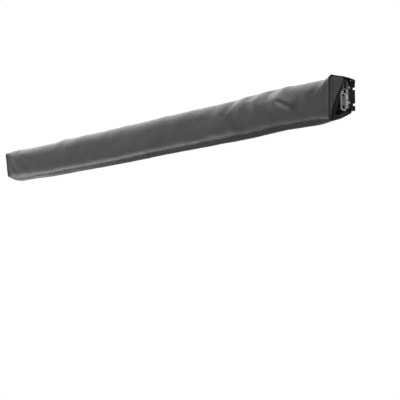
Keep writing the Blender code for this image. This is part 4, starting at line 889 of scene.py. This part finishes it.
# Painted shade: a matt black pile sheet is laid on the flap between the crease and the free edge, to stand for the
# shade on the part that is folded inwards
flap_shade_finish = grained("black sheet painted as shade", "#121213", "#222224", (0.8, 0.95), 0.0, 0.0013, bump=0.00015, shine=0.15)
shade_sheet_rows = [[spot + Vector((0.0010, 0, 0)) for spot in row[3:-3]] for row in flap_rows[FLAP_HALF_ROWS + 1 :]]
flap_shade_sheet = cloth("cover_flap_shade_sheet", shade_sheet_rows, flap_shade_finish, (1, 0, 0), 0.0008)
part_of_cover(flap_shade_sheet)
flap_hem = part_of_cover(tube("cover_flap_hem", flap_rows[-1], 0.0014, grosgrain, flat=0.8))


# Seams: lockstitch in charcoal polyester, 3.5 mm stitches with 1.5 mm between. Two rows hold each hem, about 2
# and 8 mm from the edge, and one row holds the piping.
STITCH_PITCH = 0.005
STITCH_HALF_SIZES = (0.00175, 0.00045, 0.0004, 1)
thread = grained("charcoal polyester thread", "#2f2f32", "#424246", (0.6, 0.75), 0.0, 0.0009)


def stitched(name, lines, lift=0.0010):
    """Rows of stitches. Each line is a list of (point, outward direction)."""
    shape = bmesh.new()
    for line in lines:
        left = 0.0
        for (a, up), (b, _) in zip(line, line[1:]):
            step = (b - a).length
            left -= step
            if left > 0 or step < 1e-6:
                continue
            left = STITCH_PITCH
            ahead = (b - a).normalized()
            side = up.cross(ahead).normalized()
            turn = Matrix((ahead, side, up)).transposed().to_4x4()
            place = Matrix.Translation(a + up * lift) @ turn @ Matrix.Diagonal(STITCH_HALF_SIZES)
            bmesh.ops.create_icosphere(shape, subdivisions=1, radius=1, matrix=place)
    for face in shape.faces:
        face.smooth = True
    return add_shape(name, shape, thread)


def stitch_line(points, away_from):
    """Points set close along a line, each with the direction out of the cloth there."""
    close = eased(points, max(8, round(length_of(points) / 0.001)))
    line = []
    for i, point in enumerate(close):
        ahead = (close[min(i + 1, len(close) - 1)] - close[max(i - 1, 0)]).normalized()
        line.append((point, outwards(ahead.cross(away_from).normalized(), point)))
    return line


def inset(rows, edge, step, share):
    return [a.lerp(b, share) for a, b in zip(rows[edge], rows[edge + step])]


end_lines = [
    stitch_line(inset(cover_rows, edge, step, share), Vector((1, 0, 0)))
    for edge, step in ((-1, -2), (0, 2))
    for share in (0.20, 0.72)
]
part_of_cover(stitched("cover_hem_stitches", end_lines))
long_line = []
for row in cover_rows[4:-4]:
    j, rest = low_corner(row)
    long_line.append((row[j + 2].lerp(row[j + 3], rest), Vector((0, -1, 0))))
dense = []
for (a, up), (b, _) in zip(long_line, long_line[1:]):
    dense += [(a.lerp(b, k / 6), up) for k in range(6)]
part_of_cover(stitched("cover_piping_stitches", [dense], 0.0003))


# Zip: a coil zip along the top. Its tape is beaded into the rail's outer groove, and the two coils mesh in a 6 mm
# chain of nylon turns at 2.5 mm. The slider and its bent wire pull are nickel plated.
zip_low, zip_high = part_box("zip_chain")
ZIP_PITCH = 0.0025
COIL_HALF_SIZES = (0.00055, 0.0017, 0.0008, 1)
tape_cloth = grained("woven zip tape", "#19191b", "#262628", (0.65, 0.8), 0.0, 0.0011, bump=0.0001)
nickel = grained("nickel plated zinc", "#9b9a97", "#c8c6c2", (0.2, 0.34), 1.0, 0.001)
dress(tape_cloth, "zip_tape")
dress(nickel, "zip_slider", "zip_pull")
shape = bmesh.new()
middle = Vector(((zip_low.x + zip_high.x) / 2, (zip_low.y + zip_high.y) / 2, zip_low.z + 0.0008))
bed = Matrix.Translation(middle) @ Matrix.Diagonal((zip_high.x - zip_low.x, zip_high.y - zip_low.y, 0.0012, 1))
bmesh.ops.create_cube(shape, size=1, matrix=bed)
count = int((zip_high.x - zip_low.x) / ZIP_PITCH)
for i in range(count):
    for side in (-1, 1):
        x = zip_low.x + (i + 0.5 + side * 0.25) * ZIP_PITCH
        y = (zip_low.y + zip_high.y) / 2 + side * 0.0011
        turn = Matrix.Translation((x, y, zip_high.z - 0.0009)) @ Matrix.Diagonal(COIL_HALF_SIZES)
        bmesh.ops.create_icosphere(shape, subdivisions=1, radius=1, matrix=turn)
for face in shape.faces:
    face.smooth = len(face.verts) == 3
zip_coils = add_shape("zip_coils", shape, nylon)
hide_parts("zip_chain")
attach(zip_coils, "base")

# A tab of black tape is sewn over the open end of the zip and turned down, to hold on to while the zip is closed
TAB_OUT, TAB_WIDTH, TAB_STEPS = 0.0125, 0.0230, 8
tab_path = [(1.064, 0.0611), (1.080, 0.0612), (1.092, 0.0610), (1.0955, 0.0598), (1.0966, 0.0565), (1.0962, 0.0455)]
tab_rows = []
for k in range(TAB_STEPS + 1):
    out = TAB_OUT + TAB_WIDTH * k / TAB_STEPS
    crown = 0.0006 * math.sin(math.pi * k / TAB_STEPS) + 0.0010 * k / TAB_STEPS
    tab_rows.append([Vector((x, -out, z + crown)) for x, z in eased([Vector(spot) for spot in tab_path], 24)])
zip_tab = cloth("zip_end_tab", tab_rows, grosgrain, (0.4, 0, 1), 0.0011)
tab_lines = [[(row[k], Vector((0, 0, 1))) for row in tab_rows[1:-1]] for k in (2, 14)]
dense_lines = []
for line in tab_lines:
    ends = zip(line, line[1:])
    dense_lines.append([(a.lerp(b, k / 3), up) for (a, up), (b, _) in ends for k in range(3)])
tab_stitches = stitched("zip_tab_stitches", dense_lines, 0.0002)
for piece in (zip_tab, tab_stitches):
    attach(piece, "base")
